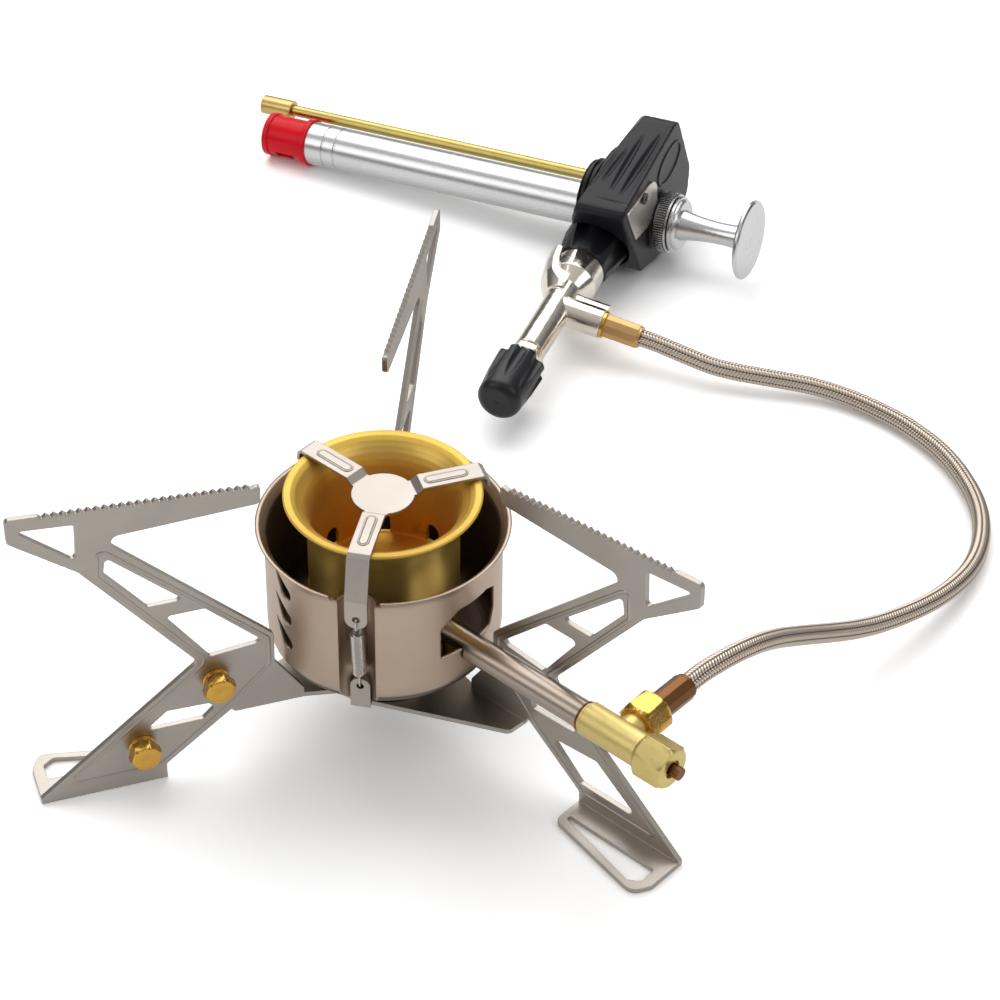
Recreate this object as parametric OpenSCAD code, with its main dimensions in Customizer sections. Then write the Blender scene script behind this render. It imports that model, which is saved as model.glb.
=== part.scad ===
// Multi-fuel camping stove: burner on three legs, braided fuel hose, control valve and bottle pump.
// Millimetres. The shapes are drawn about the burner: its axis stands on the floor at the origin, +Z is up
// and +X runs along the fuel tube. The pump and the valve have frames of their own.

/* [Cup] */
// Outer radius of the cup's wall
cup_r = 28.1; // [27:0.1:28.6]
// Thickness of the cup's sheet
cup_wall = 0.8; // [0.5:0.1:1.2]
// Height of the cup's underside above the floor
cup_base_z = 24.5; // [24:0.1:27]
// Height of the cup from its underside to its rim
cup_h = 35.4; // [33:0.1:40]
// Radius of the rounded edge under the cup
cup_corner = 7; // [6:0.1:9]
// How far the flared rim stands out from the wall
rim_flare = 2; // [1:0.1:2.4]
// Height of the flared part of the rim
rim_flare_h = 3.5; // [2:0.1:5]
// Width of the window where the fuel tube comes in
window_w = 18.2; // [14:0.1:22]
// Height of the window above its sill
window_h = 12.8; // [10:0.1:15]
// Size of the window's cut corners
window_cut = 3.5; // [1:0.1:5]
// Length of the slanted air slots, from tip to rounded end
air_slot_len = 9.4; // [7:0.1:10]
// Radius of the air slots' rounded end
air_slot_r = 2.1; // [1.6:0.1:2.3]
// Height between neighbouring air slots
air_slot_pitch = 7.6; // [6:0.1:9]
// Radius of the pressed groove that the spring lies in
groove_r = 4.4; // [4.2:0.1:5]
// Width of the notch in the rim over the groove
notch_w = 12; // [10:0.1:14]
// Depth of the notch in the rim
notch_h = 2.4; // [1.5:0.1:4]

/* [Burner bell] */
// Outer radius of the bell's straight part
bell_r = 18; // [16:0.1:19]
// Thickness of the bell's brass
bell_wall = 0.9; // [0.6:0.1:1.3]
// Radius of the bell's rim over its rolled edge
bell_rim_r = 23.4; // [22:0.1:24]
// Height of the bell from the cup's floor to its rim
bell_h = 43.3; // [41:0.1:48]
// Height of the flared part of the bell
bell_flare_h = 9; // [6:0.1:12]
// Radius of the rolled edge
bell_bead_r = 0.5; // [0.5:0.05:0.8]
// Number of arched air openings above the bell's floor
arch_count = 8; // [5:1:10]
// Width of an arched opening
arch_w = 4; // [3:0.1:5]
// Height of an arched opening
arch_h = 5.6; // [4:0.1:7]

/* [Flame spreader] */
// Radius of the spreader's middle disc
spreader_r = 7.4; // [6:0.1:9]
// Width of the three arms
strap_w = 5.4; // [4:0.1:6]
// Thickness of the spreader's sheet
strap_t = 0.8; // [0.5:0.05:1]
// Height of the arms above the middle disc
strap_step = 1.4; // [0.8:0.1:2]
// How far the front arm's end hangs below the bell's rim
strap_drop = 19; // [17:0.1:20]
// Radius of the hook holes in the front arm and in the lug
hook_hole_r = 0.9; // [0.7:0.05:1.1]

/* [Strap spring] */
// Radius of the spring's wire
wire_r = 0.24; // [0.2:0.01:0.25]
// Radius of the coil at the middle of the wire
coil_r = 1.5; // [1.2:0.05:1.55]
// Height of one turn
coil_pitch = 0.95; // [0.93:0.01:1.1]
// Height of the hooks at the middle of the wire
hook_h = 3.8; // [3.6:0.1:4.2]
// Width of the hooks at the middle of the wire
hook_w = 2; // [1.8:0.05:2.1]

/* [Fuel line] */
// Height of the fuel tube's axis above the floor
tube_z = 37; // [36:0.1:38]
// Outer radius of the steel sleeve
sleeve_r = 3.5; // [3.2:0.1:3.8]
// Outer radius of the fuel pipe inside the sleeve
pipe_r = 2.25; // [1.8:0.05:2.5]
// Wall of the fuel pipe
pipe_wall = 0.6; // [0.4:0.05:0.8]
// Distance from the burner's axis to the outer end of the sleeve
sleeve_end = 63; // [58:0.5:66]
// Outer radius of the brass tee
tee_r = 4.2; // [4:0.05:4.6]
// Length of the tee's body
tee_len = 17; // [15:0.1:20]
// Distance from the tee's inner end to its branch
tee_branch = 10.5; // [8:0.1:12]
// Radius of the tee's branch
branch_r = 3.4; // [3:0.05:3.6]
// Width across flats of the nuts on the tee
tee_nut_af = 9.8; // [9:0.1:10]
// Length of the tee's end nut
end_nut_len = 8.8; // [7:0.1:10]
// Radius of the pin that shows in the end nut
pin_r = 1.6; // [1.2:0.05:1.9]
// Length of the branch nut
branch_nut_len = 7.6; // [6:0.1:9]
// Outer radius of the hose ferrules
ferrule_r = 3.4; // [3.2:0.05:3.6]
// Outer radius of the braided hose
hose_r = 2.5; // [2.2:0.05:2.7]
// Width across flats of a jet's hexagon
jet_af = 6.8; // [6:0.1:7.4]
// Height of a jet's hexagon
jet_head_h = 3.2; // [2.6:0.1:4]
// Radius of a jet's threaded end
jet_thread_r = 2.2; // [1.8:0.05:2.4]

/* [Legs] */
// Height of the pot supports' outer tips above the floor
support_h = 88; // [84:0.5:94]
// Distance from the burner's axis to the pot supports' tips
support_r = 89; // [86:0.5:94]
// Thickness of the leg plates
leg_t = 1.3; // [1.1:0.05:1.4]
// Distance from the burner's axis to the near face of a leg plate
leg_offset = 6.1; // [6:0.05:6.6]
// How much lower the inner end of a pot support is than its tip
support_fall = 4.1; // [2:0.1:6]
// Depth of a pot support at its inner end
support_depth = 5.2; // [4:0.1:6]
// Distance from the burner's axis to the inner end of a pot support
support_in_r = 30.8; // [30:0.1:33]
// Spacing of the teeth on a pot support
tooth_pitch = 1.9; // [1.6:0.05:2.4]
// Depth of the teeth
tooth_h = 0.9; // [0.5:0.05:1.2]
// Distance from the burner's axis to the outer notch of a leg
waist_r = 47.7; // [46:0.1:50]
// Height of the outer notch of a leg above the floor
waist_z = 34.7; // [33:0.1:36]
// Distance from the burner's axis to the inner end of a foot
foot_in_r = 57; // [55:0.5:60]
// Distance from the burner's axis to the outer end of a foot
foot_out_r = 87.6; // [85:0.2:92]
// How far the loop of a foot reaches past the burner's axis
foot_reach = 8.2; // [6:0.1:10]
// Width of the strip round a foot's loop
foot_strip = 2; // [1.5:0.1:2.5]
// Height of the lowest tongue's underside above the floor
tongue_z = 15; // [14:0.1:15.4]
// Radius of the round end of a tongue
tongue_r = 15.5; // [13:0.1:16]
// Gap between neighbouring tongues
stack_gap = 0.3; // [0.2:0.05:0.35]
// Radius of the pivot rivet's shank
rivet_r = 2.4; // [2:0.05:2.8]
// Radial clearance of the tongues on the rivet
rivet_fit = 0.08; // [0.05:0.01:0.1]
// Thickness of the base plate under the cup
base_t = 1; // [0.8:0.05:1.2]

/* [Pump] */
// Radius of the pump tube
tube_r = 6.45; // [6:0.05:7]
// Wall of the pump tube
tube_wall = 0.7; // [0.5:0.05:0.9]
// Length of the pump tube
tube_len = 115.7; // [105:0.1:120]
// Length of the check valve that plugs the tube's end
check_len = 14.4; // [12:0.1:18]
// Radius of the dip rod
rod_r = 1.7; // [1.4:0.05:1.9]
// Distance of the dip rod beside the pump tube
rod_offset = 11.5; // [10.6:0.1:11.8]
// Height of the dip rod above the pump tube's axis
rod_rise = 2; // [0:0.1:2.2]
// Radius of the bottle thread
thread_r = 11.8; // [11.4:0.05:11.8]
// Length of the bottle thread
thread_len = 5; // [4:0.1:9]
// Width of the pump head along the pump
head_w = 17.6; // [16:0.1:19]
// Height of the pump's axis above the floor, in line with the valve
pump_z = 12.4; // [12.4:0.1:13]
// Radius of the knurled nut
knurl_r = 8.6; // [8:0.05:9.5]
// Length of the knurled nut
knurl_len = 3.8; // [3:0.1:5]
// Radius of the plunger's end disc
disc_r = 11.6; // [10:0.05:11.7]
// Thickness of the plunger's end disc
disc_t = 1.6; // [1.2:0.1:3]
// Length of the plunger's neck
neck_len = 19.4; // [15:0.1:22]
// Radius of the plunger's rod
plunger_rod_r = 2; // [1.6:0.05:2.4]
// Radial clearance of the sliding plunger
plunger_fit = 0.1; // [0.05:0.01:0.1]

/* [Valve] */
// Radius of the coupling collar at the pump head
collar_r = 9.4; // [9:0.05:9.8]
// Radius of the coupling collar at the valve
collar_end_r = 7.6; // [7.4:0.05:8]
// Length of the coupling collar
collar_len = 21; // [19:0.1:23]
// Clearance round the collar
collar_fit = 0.3; // [0.2:0.05:0.4]
// Radius of the valve body's cup
valve_cup_r = 7.2; // [7:0.05:7.6]
// Radius of the valve's stem
stem_r = 4.5; // [4.2:0.05:4.8]
// Distance from the pump's axis to the end of the valve's stem
stem_end = 74; // [70:0.5:78]
// Distance from the pump's axis to the valve's hose branch
valve_branch = 51.5; // [50:0.1:53]
// How far the hose branch dips below level
valve_dip = 8; // [4:0.5:10]
// Width across flats of the gland nut
gland_af = 8.4; // [7.6:0.1:8.8]
// Radius of the valve's spindle
spindle_r = 1.7; // [1.4:0.05:2]
// Radial clearance of the turning spindle
spindle_fit = 0.08; // [0.05:0.01:0.1]
// Radius of the control knob at its widest
knob_r = 7.1; // [6.4:0.05:7.4]
// Length of the control knob
knob_len = 18.3; // [16:0.1:21]

/* [Hidden] */
$fn = 64;
// Middle of the outline on the floor, seen from the burner's axis with the hose left out
rest_middle = [-57.88, 67];
eps = 0.01;

// Directions about the burner's axis
spring_az = -60;
back_az = 120;
left_az = 240;
air_slot_az = [259, 139];
steel = "#8d8781";
pale_steel = "#b9b4ac";
brass = "#c9a43a";
bronze = "#7a5432";
nickel = "#c9bfae";
black = "#1d1d1f";
aluminium = "#c4c6c8";

// Cup and bell heights
cup_floor_z = cup_base_z + cup_wall;
cup_rim_z = cup_base_z + cup_h;
pad_h = 4;
wall_cut = 8;
groove_at = cup_r - 0.1;
groove_in = groove_at - groove_r;
sill_z = tube_z + 1.4;
bell_rim_z = cup_floor_z + bell_h;
bell_floor_z = tube_z + sleeve_r + 0.5;
bell_floor_t = 0.8;
arm_z = bell_rim_z + 0.05;
spreader_z = arm_z - strap_step;

// Strap end, lug and spring
strap_end_r = groove_at - 0.9;
strap_hole_z = bell_rim_z - strap_drop + strap_w / 2 + 0.6;
lug_t = 0.8;
lug_w = 4.8;
lug_r = groove_at - sqrt(pow(groove_r, 2) - pow(lug_w / 2, 2)) + 0.3;
lug_hole_z = cup_base_z + 5.5;

// Fuel line stations along X
half_sleeve_x = bell_r + 1.2;
sleeve_wall_gap = 0.3;
sleeve_x = cup_r + sleeve_wall_gap;
block_r = 5;
block_foot_r = 3.2;
pipe_x = jet_thread_r + 0.4;
block_top_z = bell_floor_z - 0.3;
jet_thread_len = 3;
shoulder_h = 1.8;
rivet_head_r = 4.5;
rivet_head_h = 1.4;
rivet_top_r = 4;
rivet_top_h = 1.2;
branch_x = sleeve_end + tee_branch;
branch_end_y = tee_r + 1.2;
ferrule_len = 10.6;
branch_ferrule_y = branch_end_y + branch_nut_len;
hose_y = branch_ferrule_y + ferrule_len;

// Leg outline stations
plate_in_r = lug_r + lug_t - 2.9;
plate_in_z = tongue_z + 4.4;
shin_in_r = plate_in_r + 6.8;
shin_in_z = 30;
elbow_z = 38.5;
heel_r = 40.5;
heel_z = 17.6;
ankle_z = 4.4;
crotch = [68.2, support_h - 10.5];
bend = [73.8, support_h - 18.8];
tip_depth = 6.6;
jet_in = 3.9;
jet_drop = 6.5;
jet_out = 5.6;
jet_rise = 7.6;
tooth_run = 7.5;

// Pump stations along its own axis, and the place where the pump lies
pump_at = [-85.23, 188.85];
pump_turn = 16.64;
valve_turn = 20.75;
floor_gap = 0.1;
head_end = 13.4;
head_start = head_end - head_w;
head_foot = 0.35;
head_round_r = 16.6;
head_round_len = 4;
boss_r = knurl_r - 0.6;
boss_h = 1.2;
knurl_x = head_end + boss_h;
gasket_t = 1.2;
tube_out = knurl_x + 1;
tube_in = tube_out - tube_len;
tube_bore = tube_r - tube_wall;
thread_y = rod_offset * 0.35;
thread_neck_r = thread_y + tube_r + 0.3;
check_ring_t = 1.6;
check_ring_r = tube_r + 0.6;
// The pump leans until the ring of its check valve meets the floor
pump_tilt = asin((pump_z - check_ring_r - floor_gap) / (check_ring_t - tube_in));
check_plug = 8;
flange_x = knurl_x + knurl_len + 0.4;
flange_t = 2;
piston_len = 7;
piston_x = tube_in + check_plug + 1.5;
clip_t = 0.7;
clip_screw_r = 1.1;
rod_tip_x = -122.8;
filter_len = 10;
filter_r = 2.85;

// Valve stations along its own axis
spigot_r = 6;
spigot_end = 24;
collar_start = 10.6;
spigot_start = collar_start - 1.5;
collar_bore = spigot_r + collar_fit;
cup_start = collar_start + collar_len + collar_fit;
cup_len = 10;
gland_len = 3.4;
knob_gap = 2.2;
knob_start = stem_end + gland_len + knob_gap;
branch_len = 13.8;
ring_t = 1;

// Middle of the hose, straight out of the valve's ferrule and round to the tee's ferrule
branch_dir = [cos(valve_dip) * cos(valve_turn), cos(valve_dip) * sin(valve_turn), -sin(valve_dip)];
branch_from = [pump_at[0] + valve_branch * sin(valve_turn), pump_at[1] - valve_branch * cos(valve_turn),
    pump_z];
hose_from = branch_from + (branch_len + ring_t + ferrule_len) * branch_dir;
hose_to = [branch_x, hose_y, tube_z];
hose_path = [[-43.8, 150.1, 8.5], [-39.2, 151.8, 7.8], [-30, 154.2, 6.6], [-23.4, 156.6, 5.4],
    [-17.2, 159.6, 4.8], [-11.2, 163, 4.4], [-5.4, 166.4, 4], [0.6, 169.7, 3.6], [7.2, 172.2, 3.2],
    [14.6, 173.8, 2.9], [22.4, 174.5, 2.7], [29.6, 174.3, 2.7], [36.7, 173.2, 2.7], [43.4, 171.5, 2.7],
    [50, 168.8, 2.7], [56.2, 165.3, 2.7], [62.2, 161.1, 2.7], [67.6, 156, 2.7], [72.2, 149.9, 2.7],
    [76, 142.7, 2.9], [78.5, 134.9, 3.5], [79.8, 126.8, 4.6], [80.2, 118.4, 6], [79.9, 109.8, 7.8],
    [79.1, 101.4, 9.8], [78, 93.4, 12], [76.8, 86, 14.7], [75.6, 78.8, 17.9], [74.8, 71.8, 21.5],
    [74.3, 64.6, 25.4], [74, 57.4, 29.2], [74, 50, 32.5], [74, 42.4, 35], [73.8, 34.8, 36.5],
    [73.5, 28.6, 37], [73.5, 23.6, 37]];
hose_last = len(hose_path) - 1;
// The path follows both of its ends when they move, most of all close to them
hose_points = [for (i = [0:hose_last])
    let (s = i / hose_last)
    hose_path[i] + pow(1 - s, 3) * (hose_from - hose_path[0]) + pow(s, 3) * (hose_to - hose_path[hose_last])];

// Outline of a corner rounded with radius r between the points a and b
function bearing(v) = v / norm(v);
function turned(v, a) = [v[0] * cos(a) - v[1] * sin(a), v[0] * sin(a) + v[1] * cos(a)];
function corner(a, p, b, r, n = 4) =
    let (u = bearing(a - p), w = bearing(b - p), half = acos(u * w) / 2)
    let (c = p + bearing(u + w) * r / sin(half), s = p + u * r / tan(half) - c, e = p + w * r / tan(half) - c)
    let (sweep = atan2(s[0] * e[1] - s[1] * e[0], s * e))
    [for (i = [0:n]) c + turned(s, sweep * i / n)];
// Outline through [x, y, radius] points, where a radius of 0 leaves a sharp corner
function rounded(pts) = [for (i = [0:len(pts) - 1])
    let (n = len(pts), q = pts[i], a = pts[(i + n - 1) % n], b = pts[(i + 1) % n], p = [q[0], q[1]])
    each q[2] == 0 ? [p] : corner([a[0], a[1]], p, [b[0], b[1]], q[2])];
// Outline of an arc about a centre
function arc(c, r, from, to, n = 8) = [for (i = [0:n])
    let (a = from + (to - from) * i / n) c + r * [cos(a), sin(a)]];

// Closed tube swept along points, with its sections turned as little as possible
function flat_to(v, t) = bearing(v - (v * t) * t);
function tangents(p) = [for (i = [0:len(p) - 1]) bearing(p[min(i + 1, len(p) - 1)] - p[max(i - 1, 0)])];
function frames(t, n, i = 1) = i == len(t) ? n : frames(t, concat(n, [flat_to(n[i - 1], t[i])]), i + 1);
module swept_tube(p, r, sides) {
    t = tangents(p);
    n = frames(t, [flat_to(abs(t[0][2]) < 0.8 ? [0, 0, 1] : [1, 0, 0], t[0])]);
    last = (len(p) - 1) * sides;
    ring = [for (i = [0:len(p) - 1], k = [0:sides - 1])
        let (a = 360 * k / sides) p[i] + r * (cos(a) * n[i] + sin(a) * cross(t[i], n[i]))];
    skin = [for (i = [0:len(p) - 2], k = [0:sides - 1])
        let (a = i * sides + k, b = i * sides + (k + 1) % sides)
        each [[a, a + sides, b], [b, a + sides, b + sides]]];
    caps = [for (k = [1:sides - 2]) each [[0, k, k + 1], [last, last + k + 1, last + k]]];
    polyhedron(ring, concat(skin, caps), convexity = 10);
}

// Hexagon with the given width across flats
module hexagon(af) {
    circle(r = af / sqrt(3), $fn = 6);
}
// The part's own frame: its origin is on the floor under the middle of its outline
module at_rest() {
    translate([-rest_middle[0], -rest_middle[1], 0]) children();
}
// Plate cut from an outline in the X-Z plane, thick towards -Y from y
module upright(y, t) {
    translate([0, y, 0]) rotate([90, 0, 0]) linear_extrude(t) children();
}
module at_spring() {
    rotate([0, 0, spring_az]) children();
}
// The pump's own frame: +X along the pump up to its plunger, the valve towards -Y
module at_pump() {
    translate([pump_at[0], pump_at[1], pump_z]) rotate([0, -pump_tilt, pump_turn]) children();
}
module along_pump(x = 0, y = 0, z = 0) {
    at_pump() translate([x, y, z]) rotate([0, 90, 0]) children();
}
// The valve's own level frame: +Z along the valve away from the pump, +X along the hose branch
module at_valve(v = 0) {
    translate([pump_at[0], pump_at[1], pump_z]) rotate([0, 0, valve_turn])
        rotate([90, 0, 0]) rotate([0, 0, -valve_dip]) translate([0, 0, v]) children();
}
module along_branch(x = 0) {
    at_valve(valve_branch) translate([x, 0, 0]) rotate([0, 90, 0]) children();
}

// Section of the cup's outside, and of the space inside it when shrunk by its sheet
function cup_side(inset) =
    let (r = cup_r - inset, c = cup_corner - inset, flare_z = cup_h - rim_flare_h)
    concat([[0, inset]], arc([r - c, inset + c], c, -90, 0), [[r, flare_z]],
        [for (i = [1:4]) [r + rim_flare * pow(i / 4, 2), flare_z + rim_flare_h * i / 4]], [[0, cup_h]]);
module cup_solid() {
    translate([0, 0, cup_base_z]) rotate_extrude($fn = 96) polygon(cup_side(0));
}
module groove(r) {
    at_spring() translate([groove_at, 0, cup_base_z - 1]) cylinder(r = r, h = cup_h + 2);
}
// Air slot seen from outside: a tip at the upper left and a rounded end at the lower right
module air_slot_outline() {
    reach = air_slot_len - 2 * air_slot_r;
    rotate([0, 0, 130]) polygon(concat([[reach + air_slot_r, 0]], arc([0, 0], air_slot_r, 62, 298, 12)));
}
module cup() {
    color(steel) difference() {
        union() {
            difference() {
                cup_solid();
                translate([0, 0, cup_base_z]) rotate_extrude($fn = 96) polygon(cup_side(cup_wall));
                groove(groove_r);
            }
            intersection() {
                difference() {
                    groove(groove_r + cup_wall);
                    groove(groove_r);
                }
                cup_solid();
                translate([0, 0, cup_base_z]) cylinder(r = cup_r, h = cup_h);
            }
        }
        at_spring() translate([groove_in - 2, -notch_w / 2, cup_rim_z - notch_h])
            cube([groove_r + 6, notch_w, notch_h + 1]);
        translate([cup_r - 10, 0, sill_z]) rotate([90, 0, 90]) linear_extrude(14) polygon(rounded([
            [-window_w / 2, 0, 0.8], [-window_w / 2, window_h - window_cut, 1.5],
            [-window_w / 2 + window_cut * 1.4, window_h, 1.5], [window_w / 2 - window_cut, window_h, 1.5],
            [window_w / 2, window_h - window_cut / 2, 1], [window_w / 2, window_h / 3, 1.5],
            [window_w / 2 - 2, 0, 0.8]]));
        translate([cup_r - 10, 0, tube_z]) rotate([0, 90, 0]) cylinder(r = pipe_r + 0.4, h = 14);
        for (az = air_slot_az, i = [-1:1])
            rotate([0, 0, az])
                translate([cup_r - wall_cut / 2, 0, cup_base_z + cup_h * 0.56 + i * air_slot_pitch])
                    rotate([90, 0, 90]) linear_extrude(wall_cut) air_slot_outline();
        translate([0, 0, cup_base_z - 1]) cylinder(r = rivet_r + rivet_fit, h = cup_wall + 2);
    }
}

// Round plate under the cup with the lug that holds the spring
module base_plate() {
    plate_r = plate_in_r - 1;
    color(steel) difference() {
        union() {
            translate([0, 0, cup_base_z - base_t]) cylinder(r = plate_r, h = base_t);
            at_spring() translate([0, -lug_w / 2, cup_base_z - base_t]) cube([lug_r + lug_t, lug_w, base_t]);
            at_spring() translate([lug_r, -lug_w / 2, cup_base_z - base_t])
                cube([lug_t, lug_w, lug_hole_z - cup_base_z + base_t]);
            at_spring() translate([lug_r, 0, lug_hole_z]) rotate([0, 90, 0]) cylinder(d = lug_w, h = lug_t);
        }
        at_spring() translate([lug_r - 1, 0, lug_hole_z]) rotate([0, 90, 0])
            cylinder(r = hook_hole_r, h = lug_t + 2);
        translate([0, 0, cup_base_z - base_t - 1]) cylinder(r = rivet_r + rivet_fit, h = base_t + 2);
    }
}
module pivot_spacer() {
    bottom_z = tongue_z + 3 * (leg_t + stack_gap);
    color(steel) difference() {
        translate([0, 0, bottom_z]) cylinder(r = rivet_head_r + 1.5, h = cup_base_z - base_t - bottom_z);
        translate([0, 0, bottom_z - 1]) cylinder(r = rivet_r + rivet_fit, h = cup_base_z);
    }
}
module pivot_rivet() {
    color(pale_steel) union() {
        translate([0, 0, tongue_z - rivet_head_h]) cylinder(r = rivet_head_r, h = rivet_head_h);
        translate([0, 0, tongue_z - eps]) cylinder(r = rivet_r, h = cup_floor_z - tongue_z + 2 * eps);
        translate([0, 0, cup_floor_z]) cylinder(r = rivet_top_r, h = rivet_top_h);
    }
}

// Section of the bell's outside, with its trumpet mouth, shrunk by its brass for the inside
function bell_side(inset) =
    let (flare = bell_rim_r - bell_bead_r - bell_r)
    let (flare_z = bell_h - bell_flare_h - bell_bead_r - bell_wall / 2)
    [for (i = [0:8])
        let (a = 90 * i / 8, inwards = bearing([-bell_flare_h * cos(a), flare * sin(a)]))
        [bell_r + flare * (1 - cos(a)), flare_z + bell_flare_h * sin(a)] + inset * inwards];
module burner_bell() {
    mouth = bell_side(0);
    throat = bell_side(bell_wall);
    bead_z = bell_h - bell_bead_r;
    arch_z = bell_floor_z + bell_floor_t + 0.2;
    color(brass) difference() {
        translate([0, 0, cup_floor_z]) rotate_extrude($fn = 96) {
            polygon(concat([[bell_r - bell_wall, 0], [bell_r, 0]], mouth, [for (i = [8:-1:0]) throat[i]]));
            translate([bell_rim_r - bell_bead_r, bead_z]) circle(r = bell_bead_r, $fn = 32);
            translate([block_r + 0.4, bell_floor_z - cup_floor_z])
                square([bell_r - bell_wall / 2 - block_r - 0.4, bell_floor_t]);
        }
        for (i = [0:arch_count - 1])
            rotate([0, 0, i * 360 / arch_count]) translate([bell_r - wall_cut / 2, 0, arch_z])
                rotate([90, 0, 90]) linear_extrude(wall_cut)
                    polygon(concat(arc([0, arch_h - arch_w / 2], arch_w / 2, 0, 180, 12),
                        [[-arch_w / 2, 0], [arch_w / 2, 0]]));
        translate([bell_r - wall_cut / 2, 0, 0]) rotate([90, 0, 90]) linear_extrude(wall_cut)
            polygon(concat(arc([0, tube_z], pipe_r + 0.4, 0, 180, 12),
                [[-pipe_r - 0.4, cup_floor_z - 1], [pipe_r + 0.4, cup_floor_z - 1]]));
    }
}
module priming_pad() {
    color("#d8d2c4") difference() {
        translate([0, 0, cup_floor_z]) cylinder(r = bell_r - bell_wall - 0.3, h = pad_h);
        translate([0, 0, cup_floor_z - 1]) cylinder(r = rivet_top_r + 0.5, h = pad_h + 2);
    }
}
module jet_block() {
    foot_z = cup_floor_z + rivet_top_h;
    color(brass) difference() {
        union() {
            translate([0, 0, foot_z]) cylinder(r = block_foot_r, h = tube_z - foot_z);
            translate([0, 0, tube_z - block_r]) cylinder(r = block_r, h = block_top_z - tube_z + block_r);
        }
        translate([pipe_x, 0, tube_z]) rotate([0, 90, 0]) cylinder(r = pipe_r + 0.03, h = block_r);
        translate([0, 0, tube_z]) cylinder(r = jet_thread_r + 0.03, h = block_top_z - tube_z + 1);
    }
}
// One jet standing on z = 0 with its thread below
module jet() {
    difference() {
        union() {
            linear_extrude(jet_head_h) hexagon(jet_af);
            translate([0, 0, jet_head_h - eps]) cylinder(r1 = jet_af * 0.42, r2 = jet_af * 0.36, h = 0.6);
            translate([0, 0, -jet_thread_len]) cylinder(r = jet_thread_r, h = jet_thread_len + eps);
        }
        translate([0, 0, jet_head_h - 1.5]) cylinder(r = 0.3, h = 3, $fn = 16);
    }
}
module burner_jet() {
    color(brass) translate([0, 0, block_top_z]) jet();
}

// Arm of the spreader in section: up from the disc, over the rim and down along the points in hook
module spreader_arm(az, hook) {
    under = concat([[spreader_r - 2, spreader_z], [spreader_r, spreader_z], [spreader_r + 1.6, arm_z]], hook);
    over = [for (i = [len(under) - 1:-1:0])
        let (d = i < 2 ? [0, 1] : i < 4 ? [0.1, 1] : i == 4 ? [0.8, 0.6] : [1, 0.15]) under[i] + strap_t * d];
    rotate([0, 0, az]) upright(strap_w / 2, strap_w) polygon(concat(under, over));
    rotate([0, 0, az]) translate([0, 0, arm_z + strap_t - eps]) linear_extrude(0.25) {
        translate([spreader_r + 4, -strap_w / 6]) square([8, strap_w / 3]);
        for (x = [0, 8]) translate([spreader_r + 4 + x, 0]) circle(d = strap_w / 3, $fn = 24);
    }
}
module flame_spreader() {
    hook = [[bell_rim_r + 0.5, arm_z], [bell_rim_r + 1.1, arm_z - 0.6], [bell_rim_r + 1.3, arm_z - 2.6]];
    end_z = strap_hole_z + 3;
    front = [[bell_rim_r + 0.2, arm_z], [bell_rim_r + 0.9, arm_z - 0.5], [strap_end_r, end_z + 2],
        [strap_end_r, end_z]];
    color(pale_steel) difference() {
        union() {
            translate([0, 0, spreader_z]) cylinder(r = spreader_r, h = strap_t);
            spreader_arm(60, hook);
            spreader_arm(180, hook);
            spreader_arm(spring_az, front);
            at_spring() translate([strap_end_r, 0, strap_hole_z]) rotate([0, 90, 0])
                cylinder(d = strap_w, h = strap_t);
            at_spring() translate([strap_end_r, -strap_w / 2, strap_hole_z])
                cube([strap_t, strap_w, end_z - strap_hole_z + 0.3]);
        }
        at_spring() translate([strap_end_r - 1, 0, strap_hole_z]) rotate([0, 90, 0])
            cylinder(r = hook_hole_r, h = strap_t + 2);
    }
}

// Middle of the spring's wire, from the hook in the lug up through the coil to the hook in the strap
lug_mid = [lug_r + lug_t / 2, 0, lug_hole_z];
strap_mid = [strap_end_r + strap_t / 2, 0, strap_hole_z];
spring_dir = bearing(strap_mid - lug_mid);
spring_low = lug_mid + hook_h * spring_dir;
spring_high = strap_mid - hook_h * spring_dir;
spring_side = bearing([spring_dir[2], 0, -spring_dir[0]]);
coil_room = norm(spring_high - spring_low);
coil_turns = floor((coil_room - 1) / coil_pitch);
coil_start = (coil_room - coil_turns * coil_pitch) / 2;
function hook_point(mid, up, a) = mid + up * [hook_w * sin(a), 0, hook_h * (1 - cos(a))] / 2;
function coil_point(turn) =
    let (blend = min(1, turn * 2, (coil_turns - turn) * 2), a = 360 * turn)
    spring_low + spring_dir * (coil_start + turn * coil_pitch)
        + coil_r * blend * (cos(a) * spring_side + sin(a) * [0, 1, 0]);
wire = concat([for (a = [-110:24:154]) hook_point(lug_mid, 1, a)], [spring_low + spring_dir * 0.3],
    [for (i = [0:coil_turns * 8]) coil_point(i / 8)], [spring_high - spring_dir * 0.3],
    [for (a = [154:-24:-110]) hook_point(strap_mid, -1, a)]);
spring_gap = min([for (i = [0:len(wire) - 1], j = [i + 6:1:len(wire) - 1]) norm(wire[i] - wire[j])])
    - 2 * wire_r;
module strap_spring() {
    echo(spring_least_gap = spring_gap);
    color(pale_steel) at_spring() swept_tube(wire, wire_r, 6);
}

module fuel_pipe() {
    color(steel) difference() {
        translate([pipe_x, 0, tube_z]) rotate([0, 90, 0]) cylinder(r = pipe_r, h = sleeve_end - pipe_x);
        translate([pipe_x - 1, 0, tube_z]) rotate([0, 90, 0])
            cylinder(r = pipe_r - pipe_wall, h = sleeve_end);
    }
}
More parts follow.
